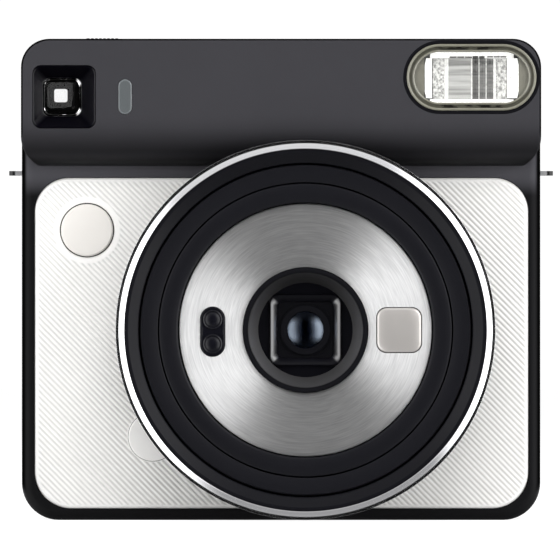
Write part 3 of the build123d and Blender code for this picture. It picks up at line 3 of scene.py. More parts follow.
import bpy
import numpy as np
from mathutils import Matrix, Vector


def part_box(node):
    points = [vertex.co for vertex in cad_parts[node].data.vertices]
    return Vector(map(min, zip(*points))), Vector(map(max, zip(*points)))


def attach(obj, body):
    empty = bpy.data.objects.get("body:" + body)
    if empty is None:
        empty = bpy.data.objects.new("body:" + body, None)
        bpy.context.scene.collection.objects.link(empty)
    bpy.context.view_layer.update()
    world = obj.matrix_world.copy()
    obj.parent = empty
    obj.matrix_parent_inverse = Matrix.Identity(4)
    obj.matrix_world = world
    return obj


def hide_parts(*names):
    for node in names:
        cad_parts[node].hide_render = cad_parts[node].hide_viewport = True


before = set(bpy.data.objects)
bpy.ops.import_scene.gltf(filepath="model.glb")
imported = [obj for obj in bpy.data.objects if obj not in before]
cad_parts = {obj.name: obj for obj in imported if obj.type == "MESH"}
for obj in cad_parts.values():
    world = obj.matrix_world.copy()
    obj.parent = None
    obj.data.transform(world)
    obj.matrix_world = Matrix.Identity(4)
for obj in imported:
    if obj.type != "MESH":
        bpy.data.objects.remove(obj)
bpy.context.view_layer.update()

# ---- places and sizes, in millimetres in the frame's axes ----


def middle(name):
    """Middle of a CAD piece as x and z."""
    low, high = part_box(name)
    return 500 * (low[0] + high[0]), 500 * (low[2] + high[2])


LENS_X, LENS_Z = middle("silver_ring")
MIRROR_X, MIRROR_Z = middle("selfie_mirror")
RANGE_X, RANGE_Z = middle("range_window")
SHUTTER_X, SHUTTER_Z = middle("shutter_button")
FLASH_X, FLASH_Z = middle("flash_window")
FINDER_X, FINDER_Z = middle("viewfinder_bezel")
EYE_X, EYE_Z = middle("eyepiece_lens")

# the power button is cut away beside the lens, so it is placed from its whole left and lower sides
POWER_R = 6.0
POWER_X = 1000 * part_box("power_button")[0][0] + POWER_R
POWER_Z = 1000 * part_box("power_button")[0][2] + POWER_R

# the ribbed panel; a hole is x, z and radius
PANEL_LOW, PANEL_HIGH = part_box("front_panel")
PANEL_X0, PANEL_X1 = 1000 * PANEL_LOW[0], 1000 * PANEL_HIGH[0]
PANEL_Z0, PANEL_Z1 = 1000 * PANEL_LOW[2], 1000 * PANEL_HIGH[2]
PANEL_TOP_R, PANEL_BOTTOM_R = 8.4, 9.0
PANEL_FRONT_Y, PANEL_BACK_Y = -9.4, -7.7
LENS_HOLE = (LENS_X, LENS_Z, 42.95)
SHUTTER_HOLE = (SHUTTER_X, SHUTTER_Z, 6.73)
POWER_HOLE = (POWER_X, POWER_Z, 6.12)
RIB_STEP, RIB_DEPTH = 1.5, 0.17
GRID = RIB_STEP / 8
GRID_REACH = GRID * 1.6
EDGE_ROLL, EDGE_DROP = 1.7, 1.0
LIP_ROLL, LIP_DROP = 0.35, 0.2

# baffle and front lens
BAFFLE_Y, BAFFLE_R = -20.2, 11.7
LOOP_POINTS = 44
GLASS_R, GLASS_RISE, GLASS_FRONT = 4.88, 1.3, -20.7
GLASS_BALL = (GLASS_R ** 2 + GLASS_RISE ** 2) / (2 * GLASS_RISE)
GLASS_BACK = -16.1

# viewfinder lens, a little aside in its bezel
FINDER_SHIFT = -0.6
FINDER_HALF = 4.7
VIEW_SHIFT_X, VIEW_SHIFT_Z = -1.7, 1.2

# flash window and its clear cover
FLASH_W, FLASH_H = 32.4, 16.8
COVER_R, COVER_FLAT = 6.3, 7.9

# heights of surface grain, in metres
GRAIN_BUMP = 0.00006
FINE_BUMP = 0.00005
BRUSH_BUMP = 0.00003


# ---- node helpers ----

class Value:
    """A number inside a node tree, written with plain arithmetic."""

    def __init__(self, tree, socket):
        self.tree = tree
        self.socket = socket

    def math(self, operation, *others):
        node = self.tree.nodes.new("ShaderNodeMath")
        node.operation = operation
        for slot, item in enumerate((self,) + others):
            feed(item, node.inputs[slot])
        return Value(self.tree, node.outputs[0])

    def __add__(self, other):
        return self.math("ADD", other)

    def __sub__(self, other):
        return self.math("SUBTRACT", other)

    def __rsub__(self, other):
        return self.math("MULTIPLY_ADD", -1.0, other)

    def __mul__(self, other):
        return self.math("MULTIPLY", other)

    def __neg__(self):
        return self * -1.0

    def __abs__(self):
        return self.math("ABSOLUTE")

    def most(self, other):
        return self.math("MAXIMUM", other)

    def ramp(self, low, high, top=1.0, bottom=0.0, kind="SMOOTHSTEP"):
        """Bottom up to low, top from high on, and a smooth change between them."""
        node = add_node(self.tree, "ShaderNodeMapRange", interpolation_type=kind)
        for slot, number in zip(("From Min", "From Max", "To Min", "To Max"), (low, high, bottom, top)):
            node.inputs[slot].default_value = number
        feed(self, node.inputs["Value"])
        return Value(self.tree, node.outputs["Result"])

    def spread(self, bottom, top):
        """Takes 0 to 1 in a straight line to bottom and top."""
        return self.ramp(0.0, 1.0, top, bottom, "LINEAR")

    def between(self, first, second):
        """First where this value is 0 and second where it is 1."""
        node = add_node(self.tree, "ShaderNodeMix", data_type="FLOAT")
        for slot, item in zip((0, 2, 3), (self, first, second)):
            feed(item, node.inputs[slot])
        return Value(self.tree, node.outputs[0])


def feed(item, target):
    """Links a value to an input, or sets the input to a plain number."""
    if isinstance(item, Value):
        item.tree.links.new(item.socket, target)
    else:
        target.default_value = item


def add_node(tree, kind, **values):
    node = tree.nodes.new(kind)
    for key, value in values.items():
        if key in node.inputs:
            node.inputs[key].default_value = value
        else:
            setattr(node, key, value)
    return node


def output(tree, kind, name, **values):
    return Value(tree, add_node(tree, kind, **values).outputs[name])


def parts(value):
    """The three numbers of a vector."""
    split = add_node(value.tree, "ShaderNodeSeparateXYZ")
    feed(value, split.inputs[0])
    return [Value(value.tree, socket) for socket in split.outputs]


def vector_math(value, operation, other=None):
    node = add_node(value.tree, "ShaderNodeVectorMath", operation=operation)
    feed(value, node.inputs[0])
    if other is not None:
        feed(other, node.inputs[1])
    return Value(value.tree, node.outputs["Value" if operation == "LENGTH" else "Vector"])


def place(tree):
    return output(tree, "ShaderNodeTexCoord", "Object")


def normal(tree):
    return output(tree, "ShaderNodeNewGeometry", "Normal")


def ray(tree, kind):
    """One for rays of a kind, such as Camera or Glossy, and zero for the others."""
    return output(tree, "ShaderNodeLightPath", f"Is {kind} Ray")


def eye_ahead(tree):
    """One when a surface is seen from straight ahead, less at a slant."""
    return -parts(output(tree, "ShaderNodeNewGeometry", "Incoming"))[1]


def noise(tree, scale, detail=2.0, vector=None):
    node = add_node(tree, "ShaderNodeTexNoise", Scale=scale, Detail=detail)
    feed(vector or place(tree), node.inputs["Vector"])
    return Value(tree, node.outputs["Fac"])


def away_from(tree, x_mm, z_mm):
    """Distances in metres sideways and upwards from a point on the front."""
    x, _, z = parts(place(tree))
    return abs(x - x_mm / 1000), abs(z - z_mm / 1000)


def reach_of(side, rise):
    return (side * side + rise * rise).math("SQRT")


def bump(shader, grain, strength, distance, slot="Normal"):
    node = add_node(grain.tree, "ShaderNodeBump", Strength=strength, Distance=distance)
    feed(grain, node.inputs["Height"])
    grain.tree.links.new(node.outputs[0], shader.inputs[slot])


def two_tone(grain, shader, color, swing):
    """Base colour that wanders a little darker and a little paler."""
    mix = add_node(grain.tree, "ShaderNodeMix", data_type="RGBA")
    mix.inputs[6].default_value = [c * (1 - swing) for c in color] + [1]
    mix.inputs[7].default_value = [min(1, c * (1 + swing)) for c in color] + [1]
    feed(grain, mix.inputs[0])
    grain.tree.links.new(mix.outputs[2], shader.inputs["Base Color"])


def grey(tree, *tones):
    """Colour from three values."""
    color = add_node(tree, "ShaderNodeCombineColor")
    for slot, tone in enumerate(tones):
        feed(tone, color.inputs[slot])
    return Value(tree, color.outputs[0])


def new_material(name):
    material = bpy.data.materials.new(name)
    material.use_nodes = True
    material.node_tree.nodes.clear()
    return material, material.node_tree


def surface(tree, shader):
    out = add_node(tree, "ShaderNodeOutputMaterial")
    tree.links.new(shader.outputs[0], out.inputs[0])


def mix_shaders(tree, share, first, second):
    mix = add_node(tree, "ShaderNodeMixShader")
    feed(share, mix.inputs[0])
    tree.links.new(first.outputs[0], mix.inputs[1])
    tree.links.new(second.outputs[0], mix.inputs[2])
    return mix


def main_shader(material):
    return next(node for node in material.node_tree.nodes if node.type == "BSDF_PRINCIPLED")


def scale_color(material, make_factor):
    """Multiplies the base colour of a material by a value worked out from nodes."""
    tree = material.node_tree
    shader = main_shader(material)
    scale = add_node(tree, "ShaderNodeVectorMath", operation="SCALE")
    tree.links.new(shader.inputs["Base Color"].links[0].from_socket, scale.inputs[0])
    feed(make_factor(tree), scale.inputs["Scale"])
    tree.links.new(scale.outputs[0], shader.inputs["Base Color"])


def drive_shine(material, make_value):
    """Lets nodes set how strongly a material reflects."""
    feed(make_value(material.node_tree), main_shader(material).inputs["Specular IOR Level"])


# ---- kinds of material ----

def plain(name, color, rough, metal=0.0, spec=0.5, grain=2600.0, depth=0.25, tint=0.05, swing=0.06, coat=0.0,
          patch=90.0):
    """Opaque: broad tint changes in the colour, fine grain in the bump and the roughness."""
    material, tree = new_material(name)
    shader = add_node(tree, "ShaderNodeBsdfPrincipled")
    surface(tree, shader)
    two_tone(noise(tree, patch, 3.0), shader, color, tint)
    fine = noise(tree, grain, 3.0)
    feed(fine.spread(rough - swing, rough + swing), shader.inputs["Roughness"])
    shader.inputs["Metallic"].default_value = metal
    shader.inputs["Specular IOR Level"].default_value = spec
    shader.inputs["Coat Weight"].default_value = coat
    shader.inputs["Coat Roughness"].default_value = 0.08
    bump(shader, fine, depth, GRAIN_BUMP)
    return material


def turned_metal(name, color, rough, stretch, groove=9000.0, depth=0.12, metal=1.0, bands=0.06):
    """Metal with a circular brush grain about the lens axis; highlights stretch across the grain."""
    material, tree = new_material(name)
    shader = add_node(tree, "ShaderNodeBsdfPrincipled")
    surface(tree, shader)
    arm = vector_math(place(tree), "SUBTRACT", (LENS_X / 1000, 0, LENS_Z / 1000))
    flat = vector_math(arm, "MULTIPLY", (1, 0, 1))
    unit = vector_math(flat, "NORMALIZE")
    # the grain varies quickly with the radius and slowly along the circle
    along = 4.5
    x, _, z = parts(unit)
    spot = add_node(tree, "ShaderNodeCombineXYZ")
    for slot, value in enumerate((x * along, vector_math(flat, "LENGTH") * groove, z * along)):
        feed(value, spot.inputs[slot])
    grain = noise(tree, 1.0, 3.0, Value(tree, spot.outputs[0]))
    two_tone(grain, shader, color, bands)
    feed(grain.spread(rough - 0.05, rough + 0.05), shader.inputs["Roughness"])
    shader.inputs["Metallic"].default_value = metal
    shader.inputs["Anisotropic"].default_value = stretch
    feed(unit, shader.inputs["Tangent"])
    bump(shader, grain, depth, BRUSH_BUMP)
    return material


def clear(name, tint, rough=0.03, ior=1.45, swirl=300.0, depth=0.02):
    """Clear solid that still lets light through to what is behind it."""
    shade = 0.8
    material, tree = new_material(name)
    shader = add_node(tree, "ShaderNodeBsdfPrincipled", IOR=ior)
    shader.inputs["Transmission Weight"].default_value = 1.0
    shader.inputs["Base Color"].default_value = list(tint) + [1]
    wavy = noise(tree, swirl)
    feed(wavy.spread(max(0.0, rough - 0.02), rough + 0.02), shader.inputs["Roughness"])
    bump(shader, wavy, depth, FINE_BUMP)
    through = add_node(tree, "ShaderNodeBsdfTransparent", Color=[c * shade for c in tint] + [1])
    surface(tree, mix_shaders(tree, ray(tree, "Shadow").most(ray(tree, "Diffuse")), shader, through))
    return material


def thin_glass(name, tint):
    """Thin clear cover: straight through, with a faint mirror image on top."""
    shine = 0.6
    material, tree = new_material(name)
    through = add_node(tree, "ShaderNodeBsdfTransparent", Color=list(tint) + [1])
    gloss = add_node(tree, "ShaderNodeBsdfGlossy", Color=(1, 1, 1, 1))
    swirl = noise(tree, 350.0)
    feed(swirl.spread(0.04, 0.10), gloss.inputs["Roughness"])
    bump(gloss, swirl, 0.04, FINE_BUMP)
    facing = output(tree, "ShaderNodeLayerWeight", "Fresnel", Blend=0.3)
    surface(tree, mix_shaders(tree, facing * shine, through, gloss))
    return material


def streaked(name, low, high, stretch, metal=0.0, glow=0.0):
    """Reflector facet: tone wanders between two greys, stretched along one direction."""
    warmth = 0.985
    material, tree = new_material(name)
    shader = add_node(tree, "ShaderNodeBsdfPrincipled", Metallic=metal)
    surface(tree, shader)
    grain = noise(tree, 1.0, 3.0, vector_math(place(tree), "MULTIPLY", stretch))
    tone = grain.ramp(0.35, 0.65, high, low)
    color = grey(tree, tone, tone, tone * warmth)
    feed(color, shader.inputs["Base Color"])
    feed(grain.spread(0.2, 0.4), shader.inputs["Roughness"])
    # a glow is painted light on a facet that is no lamp
    if glow:
        feed(color, shader.inputs["Emission Color"])
        shader.inputs["Emission Strength"].default_value = glow
    bump(shader, grain, 0.3, FINE_BUMP)
    return material


def coated_glass(name):
    """Dark glass with a cool coating that picks up the side panels as two crescents; where the crescents fall
    is painted, by a mask round the lens middle.
    """
    material, tree = new_material(name)
    glass = add_node(tree, "ShaderNodeBsdfGlass", Color=(0.25, 0.30, 0.42, 1), Roughness=0.05, IOR=1.3)
    coat = add_node(tree, "ShaderNodeBsdfGlossy", Color=(0.72, 0.84, 1.0, 1))
    swirl = noise(tree, 260.0)
    feed(swirl.spread(0.24, 0.32), coat.inputs["Roughness"])
    bump(coat, swirl, 0.03, FINE_BUMP)
    side, rise = away_from(tree, LENS_X, LENS_Z)
    # painted reflection: a mask by place sets where the coating's crescents show
    painted_crescents = side.ramp(0.0004, 0.0030) * rise.ramp(0.0012, 0.0040, 0.0, 1.0)
    painted_crescents = painted_crescents * reach_of(side, rise).ramp(0.0036, 0.0048, 0.30, 1.0)
    surface(tree, mix_shaders(tree, painted_crescents * 0.14, glass, coat))
    return material


def painted_glint_edge(name):
    """Polished edge of the finder lens: black, with painted glints: bright sparks painted on and made to glow
    at its right-hand corners.
    """
    material, tree = new_material(name)
    shader = add_node(tree, "ShaderNodeBsdfPrincipled", Metallic=1.0, Roughness=0.15)
    surface(tree, shader)
    x, _, _ = parts(place(tree))
    _, away = away_from(tree, FINDER_X, FINDER_Z)
    # painted glints: the right-hand corners are painted bright and glow, with small painted sparks scattered
    # elsewhere
    corner = x.ramp((FINDER_X + 2.6) / 1000, (FINDER_X + 3.4) / 1000) * away.ramp(0.0026, 0.0034)
    spark = noise(tree, 900.0).ramp(0.54, 0.62, 0.55)
    tone = corner.most(spark.most(0.02))
    color = grey(tree, tone, tone, tone)
    feed(color, shader.inputs["Base Color"])
    feed(color, shader.inputs["Emission Color"])
    feed(corner * 0.8, shader.inputs["Emission Strength"])
    return material


# ---- where a material changes over a piece, mostly painted shade, painted highlights and painted sheen ----

def painted_dark_rim(tree):
    """Painted shade on the shell's rounded edges: one, falling away where the shell turns from an eye
    straight ahead, as with black flags beside it.
    """
    facing = output(tree, "ShaderNodeLayerWeight", "Facing", Blend=0.5)
    head_on = eye_ahead(tree).ramp(0.95, 0.99, 0.97)
    on_body = parts(place(tree))[1].ramp(-0.0165, -0.0120)
    turned = on_body.between(facing.ramp(0.02, 0.16), facing.ramp(0.12, 0.45))
    upward = parts(normal(tree))[2].ramp(-0.25, -0.05)
    return 1.0 - turned * upward * head_on


def front_shell_painted_shade(tree):
    """Painted shade and light: the brow is painted paler than the frame round the panel and fades to black
    towards its foot, where it curves under; the frame gets a pale painted strip along its top.
    """
    x, y, z = parts(place(tree))
    nx, ny, nz = parts(normal(tree))
    brow = z.ramp(0.0885, 0.1005, 1.0, 0.20)
    # painted light: a pale strip along the frame's top; the rest of the frame is painted dark, changing a
    # little from left to right
    frame_painted_tone = x.ramp(-0.064, 0.064, 0.13, 0.09).most(z.ramp(0.0790, 0.0855, 1.70))
    on_frame = y.ramp(-0.0165, -0.0110) * (-ny).ramp(0.55, 0.80)
    front = on_frame.between(brow, frame_painted_tone)
    sideways = abs(nx).ramp(0.75, 0.92).most(nz.ramp(0.55, 0.8))
    return sideways.between(front, 0.85) * painted_dark_rim(tree)


def front_shell_painted_shine(tree):
    # painted shade in the shine: the shell reflects less where the painted dark rim falls
    return painted_dark_rim(tree) * 0.08


def panel_painted_shade(tree):
    """Painted shade: the grooves, the left edge and the lower left corner are painted a little darker."""
    x, _, z = parts(place(tree))
    groove = output(tree, "ShaderNodeAttribute", "Fac", attribute_name="groove")
    edge = x.ramp(-0.0607, -0.0560, 1.0, 0.955)
    corner = (x + z).ramp(-0.058, -0.022, 1.0, 0.83)
    return edge * corner * (1.0 - groove * 0.30)


def lug_factor(tree):
    """The outer end of each strap lug is black."""
    return abs(parts(place(tree))[0]).ramp(0.0656, 0.0659, 0.03, 1.0)


def pill_painted_highlight(tree):
    """Painted highlight: the light sensor's window is painted paler round its edge."""
    low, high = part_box("sensor_window")
    radius = (high[0] - low[0]) / 2
    straight = (high[2] - low[2]) / 2 - radius
    side, rise = away_from(tree, *middle("sensor_window"))
    reach = reach_of(side, (rise - straight).most(0.0))
    return reach.ramp(radius - 0.0005, radius - 0.0002, 1.35, 0.92)


def baffle_painted_sheen(tree):
    """Painted sheen: the shine is set by place, so only the sloping side walls of the baffle catch the side
    panels and the top and bottom walls stay dull.
    """
    side, rise = away_from(tree, LENS_X, LENS_Z)
    sloping = abs(parts(normal(tree))[1]).ramp(0.80, 0.97, 0.04, 1.0)
    return (side - rise).ramp(-0.0004, 0.0004, 1.7, 0.12) * sloping


def cone_painted_shade(tree):
    """Painted shade: the cone is painted darker towards its top."""
    return parts(place(tree))[2].ramp((LENS_Z - 6) / 1000, (LENS_Z + 12) / 1000, 0.36, 0.80)


def disc_painted_shade(tree):
    """Painted shade: seen at a slant the brushed metal mirrors the wide studio panels, so its colour is
    painted darker there.
    """
    return eye_ahead(tree).ramp(0.70, 0.97, 1.0, 0.36)


def channel_painted_shade(tree):
    """Painted shade: dark broken patches painted along the top and bottom of the flash rim's channel."""
    patches = noise(tree, 1.0, 3.0, vector_math(place(tree), "MULTIPLY", (330, 0, 900)))
    across, away = away_from(tree, FLASH_X, FLASH_Z)
    where = away.ramp(0.0050, 0.0062) * across.ramp(0.0060, 0.0100, 0.0, 1.0)
    return where.between(1.0, patches.ramp(0.42, 0.58, 0.15, 1.0))


def funnel_painted_sheen(tree):
    """Painted sheen: the shine is set by place, so only the left and right walls of the finder funnel catch
    the side panels.
    """
    side, rise = away_from(tree, FINDER_X, FINDER_Z)
    return (side - rise).ramp(-0.0008, 0.0012, 0.35, 0.01)


# ---- materials ----

MAT = {
    "front": plain("front_shell_grey", (0.0370, 0.0365, 0.0412), 0.55, spec=0.05, grain=3600, depth=0.30),
    "shell": plain("shell_grey", (0.034, 0.034, 0.0375), 0.46, spec=0.24, grain=3600, depth=0.30),
    "panel": plain("panel_white", (0.91, 0.900, 0.882), 0.42, spec=0.35, grain=2400, depth=0.06, tint=0.012),
    "button": plain("button_white", (0.75, 0.725, 0.69), 0.30, spec=0.45, grain=1800, depth=0.04, tint=0.015),
    "black": plain("housing_black", (0.0055, 0.0055, 0.0072), 0.34, spec=0.1, grain=3000, depth=0.1,
                   tint=0.1),
    "satin": plain("lip_black", (0.0060, 0.0060, 0.0080), 0.38, spec=0.18, grain=3600, depth=0.15, tint=0.1),
    "matt": plain("matt_black", (0.0030, 0.0030, 0.0042), 0.70, spec=0.08, grain=2200, depth=0.4, tint=0.15),
    "void": plain("tube_black", (0.0009, 0.0009, 0.0010), 0.85, spec=0.02, grain=2200, depth=0.3, tint=0.2),
    "gloss": plain("gloss_black", (0.004, 0.004, 0.0065), 0.24, spec=0.28, grain=900, depth=0.03, tint=0.1,
                   swing=0.04),
    "baffle": plain("baffle_black", (0.004, 0.004, 0.0055), 0.30, grain=2600, depth=0.08, tint=0.10),
    "funnel": plain("finder_funnel", (0.0022, 0.0020, 0.0036), 0.32, grain=1500, depth=0.05, tint=0.1),
    "cone": turned_metal("cone_grey", (0.135, 0.133, 0.136), 0.45, 0.5, metal=0.75),
    "silver": turned_metal("ring_silver", (0.80, 0.80, 0.82), 0.16, 0.2, groove=5000, depth=0.03, bands=0.02),
    "disc": turned_metal("disc_brushed", (0.80, 0.80, 0.81), 0.43, 0.92, groove=3600, depth=0.25, bands=0.30),
    "mirror": plain("mirror_warm", (0.50, 0.477, 0.458), 0.16, metal=0.38, grain=600, depth=0.01, tint=0.01,
                    swing=0.02),
    "steel": plain("steel", (0.55, 0.55, 0.56), 0.30, metal=1.0, grain=1500, depth=0.15, tint=0.06),
    "brass": plain("socket_brass", (0.60, 0.42, 0.16), 0.30, metal=1.0, grain=1200, depth=0.1, tint=0.1),
    "dark": plain("button_dark", (0.050, 0.050, 0.054), 0.42, spec=0.4, grain=3000, tint=0.08),
    "screw": plain("screw_black", (0.03, 0.03, 0.03), 0.35, metal=0.6, grain=1500, depth=0.2, tint=0.2),
    "board": plain("board_green", (0.012, 0.09, 0.035), 0.30, grain=700, depth=0.3, tint=0.25, patch=500),
    "sleeve": plain("cell_sleeve", (0.55, 0.38, 0.10), 0.28, metal=0.6, grain=900, depth=0.05, tint=0.08),
    "blue": plain("capacitor_sleeve", (0.02, 0.03, 0.07), 0.25, grain=700, depth=0.1, tint=0.1),
    "acetal": plain("gear_plastic", (0.72, 0.71, 0.66), 0.40, spec=0.4, grain=1500, depth=0.1, tint=0.03),
    "rubber": plain("flap_black", (0.018, 0.018, 0.018), 0.7, spec=0.2, grain=1800, depth=0.5, tint=0.1),
    "lug": plain("lug_metal", (0.46, 0.46, 0.47), 0.32, metal=0.35, grain=1500, depth=0.08, tint=0.04),
    "lamp": plain("lamp_diffuse", (0.75, 0.74, 0.68), 0.35, grain=900, depth=0.05, tint=0.03),
    "sensor": plain("sensor_window", (0.10, 0.11, 0.115), 0.22, grain=700, depth=0.05, tint=0.1, coat=0.3),
    "olive": plain("rim_olive", (0.070, 0.068, 0.052), 0.20, spec=0.55, grain=800, depth=0.05, tint=0.25,
                   patch=420, coat=0.25),
    "olive_pale": plain("rim_olive_pale", (0.19, 0.185, 0.145), 0.22, spec=0.6, grain=800, depth=0.05,
                        tint=0.18, patch=500, coat=0.3),
    "olive_mid": plain("rim_olive_mid", (0.20, 0.195, 0.165), 0.35, spec=0.4, grain=900, depth=0.08,
                       tint=0.22, patch=380),
    "lens": clear("lens_glass", (0.80, 0.86, 1.0), 0.02, 1.52),
    "optic": clear("finder_glass", (0.98, 0.98, 0.98), 0.005, 1.52, depth=0.0),
    "window": clear("clear_window", (0.96, 0.97, 0.97), 0.03, 1.20),
    "amber": clear("film_window_amber", (0.75, 0.50, 0.12), 0.06, 1.40),
    "frost": clear("tube_frost", (0.95, 0.95, 0.92), 0.25, 1.30),
    "cover": thin_glass("flash_cover_clear", (0.97, 0.97, 0.96)),
    "eye_glass": thin_glass("eyepiece_clear", (0.98, 0.98, 0.98)),
    "coated": coated_glass("coated_glass"),
    "painted_glint_edge": painted_glint_edge("finder_lens_edge"),
    # painted reflections: the one reflector is given several copies, each with its own greys for what it
    # mirrors, from white to dark
    "flash_white": streaked("reflector_bright", 0.74, 0.95, (1500, 200, 1100)),
    "flash_painted_glow": streaked("reflector_lit", 0.84, 1.0, (1500, 200, 1100), glow=0.30),
    "flash_light": streaked("reflector_ribbed", 0.30, 0.58, (40, 60, 900), metal=0.1),
    "flash_dim": streaked("reflector_dim", 0.08, 0.20, (40, 60, 900)),
    "flash_dark": streaked("reflector_dark", 0.035, 0.13, (40, 60, 900)),
    "flash_spark": streaked("reflector_hammered", 0.30, 0.78, (1900, 300, 1500)),
}

# most of these paint shade and highlights into the base colours; the second list paints sheen into the shine
for look, factor in (
    ("front", front_shell_painted_shade),
    ("shell", painted_dark_rim),
    ("lug", lug_factor),
    ("panel", panel_painted_shade),
    ("sensor", pill_painted_highlight),
    ("cone", cone_painted_shade),
    ("disc", disc_painted_shade),
    ("olive", channel_painted_shade),
):
    scale_color(MAT[look], factor)
for look, shine in (("front", front_shell_painted_shine), ("baffle", baffle_painted_sheen), ("funnel", funnel_painted_sheen)):
    drive_shine(MAT[look], shine)

CAD_LOOKS = {
    "front": ("front_shell",),
    "shell": ("rear_shell", "back_door", "battery_door"),
    "panel": ("power_button",),
    "disc": ("face_plate",),
    "matt": ("chassis", "shutter_plate", "shutter_cover", "battery_holder", "shutter_blade_upper",
             "shutter_blade_lower"),
    "void": ("viewfinder_tube",),
    "gloss": ("eyepiece_rim",),
    "lens": ("rear_lens",),
    "window": ("counter_window",),
    "amber": ("film_window",),
    "sensor": ("sensor_window",),
    "frost": ("flash_tube",),
    "blue": ("flash_capacitor",),
    "board": ("main_board", "front_switch_board"),
    "dark": ("tact_switches", "self_timer_button", "mode_button", "flash_button", "door_latch"),
    "sleeve": ("batteries",),
    "steel": ("battery_contacts", "roller_frame", "eject_claw", "film_motor", "drive_roller", "pinch_roller"),
    "lug": ("strap_lugs",),
    "screw": ("body_screws",),
    "brass": ("tripod_socket",),
    "lamp": ("indicator_lamps",),
    "acetal": ("idler_gear", "motor_pinion"),
    "button": ("counter_dial",),
    "rubber": ("exit_flap",),
}
for look, names in CAD_LOOKS.items():
    for name in names:
        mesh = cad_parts[name].data
        mesh.materials.clear()
        mesh.materials.append(MAT[look])


# ---- mesh helpers ----

def piece(name, points, faces, look, body, stands_for=(), slot=None, sharp=35.0):
    """Mesh object from millimetre points, riding on a body."""
    mesh = bpy.data.meshes.new(name)
    mesh.from_pydata([(x / 1000, y / 1000, z / 1000) for x, y, z in points], [], faces)
    mesh.validate()
    mesh.polygons.foreach_set("use_smooth", [True] * len(mesh.polygons))
    mesh.set_sharp_from_angle(angle=math.radians(sharp))
    mesh.materials.append(MAT[look])
    mesh.update()
    obj = bpy.data.objects.new(name, mesh)
    bpy.context.scene.collection.objects.link(obj)
    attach(obj, body)
    if stands_for:
        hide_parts(*stands_for)
    return obj


def bridge(faces, lower, upper):
    """Wall of four-sided faces between two closed loops of point numbers; doubled points are dropped."""
    count = len(lower)
    for i in range(count):
        j = (i + 1) % count
        face = [lower[i], lower[j], upper[j], upper[i]]
        clean = [v for n, v in enumerate(face) if v != face[n - 1]]
        if len(clean) > 2:
            faces.append(clean)


def lathe(name, profile, look, body, x=LENS_X, z=LENS_Z, turns=192, closed=True, **more):
    """Turned piece from (radius, depth) pairs; a pair on the axis closes the middle."""
    points, faces, rings = [], [], []
    for r, y in profile:
        if r == 0:
            rings.append([len(points)] * turns)
            points.append((x, y, z))
            continue
        rings.append(list(range(len(points), len(points) + turns)))
        for i in range(turns):
            a = 2 * math.pi * i / turns
            points.append((x + r * math.cos(a), y, z + r * math.sin(a)))
    for k in range(len(profile) if closed else len(profile) - 1):
        bridge(faces, rings[k], rings[(k + 1) % len(profile)])
    return piece(name, points, faces, look, body, **more)


def soft_loop(width, height, corner, x, z, steps=10):
    """Rounded rectangle as a list of (x, z) points."""
    corner = min(corner, width / 2, height / 2)
    loop = []
    for right, up, start in ((1, 1, 0), (-1, 1, 90), (-1, -1, 180), (1, -1, 270)):
        for i in range(steps + 1):
            a = math.radians(start + 90 * i / steps)
            across = right * (width / 2 - corner) + corner * math.cos(a)
            rise = up * (height / 2 - corner) + corner * math.sin(a)
            loop.append((x + across, z + rise))
    return loop


def skin(name, layers, look, body, caps=True, **more):
    """Skin through layers with equal point counts; caps close the first and the last."""
    points, faces = [], []
    count = len(layers[0])
    rings = [list(range(k * count, (k + 1) * count)) for k in range(len(layers))]
    for layer in layers:
        points += layer
    if caps:
        faces.append(rings[0])
    for lower, upper in zip(rings, rings[1:]):
        bridge(faces, lower, upper)
    if caps:
        faces.append(rings[-1])
    return piece(name, points, faces, look, body, **more)


def stack(name, loops, look, body, caps=False, **more):
    """Skin through flat loops, each given with its depth."""
    return skin(name, [[(x, y, z) for x, z in loop] for loop, y in loops], look, body, caps, **more)


def dome(name, side, corner, x, z, edge_y, front_y, back_y, look, body, **more):
    """Rounded square block with a front that bulges like a shallow ball."""
    edge, rings, bulge_limit = 0.3, 14, 1.4
    reach = side ** 2 / 2 / bulge_limit

    def cap(width, radius, lift=0.0):
        points = []
        for px, pz in soft_loop(width, width, radius, x, z):
            fall = min(bulge_limit, ((px - x) ** 2 + (pz - z) ** 2) / reach)
            points.append((px, front_y + (edge_y - front_y) * fall + lift, pz))
        return points

    layers = [[(px, back_y, pz) for px, pz in soft_loop(side, side, corner, x, z)]]
    layers += [cap(side, corner, edge), cap(side - edge * 0.5, corner, edge * 0.25)]
    layers += [cap((side - edge * 1.4) * (1 - k / rings), corner * (1 - k / rings)) for k in range(rings)]
    return skin(name, layers, look, body, **more)


# ---- ribbed front panel ----

def fade(distance, low, high):
    t = np.clip((distance - low) / (high - low), 0, 1)
    return t * t * (3 - 2 * t)


def edge_distance(px, pz):
    """How far points lie inside the panel's rounded outline."""
    mid_x, mid_z = (PANEL_X0 + PANEL_X1) / 2, (PANEL_Z0 + PANEL_Z1) / 2
    radius = np.where(pz > mid_z, PANEL_TOP_R, PANEL_BOTTOM_R)
    qx = np.abs(px - mid_x) - (PANEL_X1 - PANEL_X0) / 2 + radius
    qz = np.abs(pz - mid_z) - (PANEL_Z1 - PANEL_Z0) / 2 + radius
    outside = np.hypot(np.maximum(qx, 0), np.maximum(qz, 0))
    return -(outside + np.minimum(np.maximum(qx, qz), 0) - radius)


def hole_distances(px, pz):
    return [np.hypot(px - cx, pz - cz) - radius for cx, cz, radius in (LENS_HOLE, SHUTTER_HOLE, POWER_HOLE)]


def grid_line(low, high):
    """Evenly spaced places, centred between two limits."""
    count = int((high - low) / GRID) + 1
    return low + (high - low - (count - 1) * GRID) / 2 + np.arange(count) * GRID


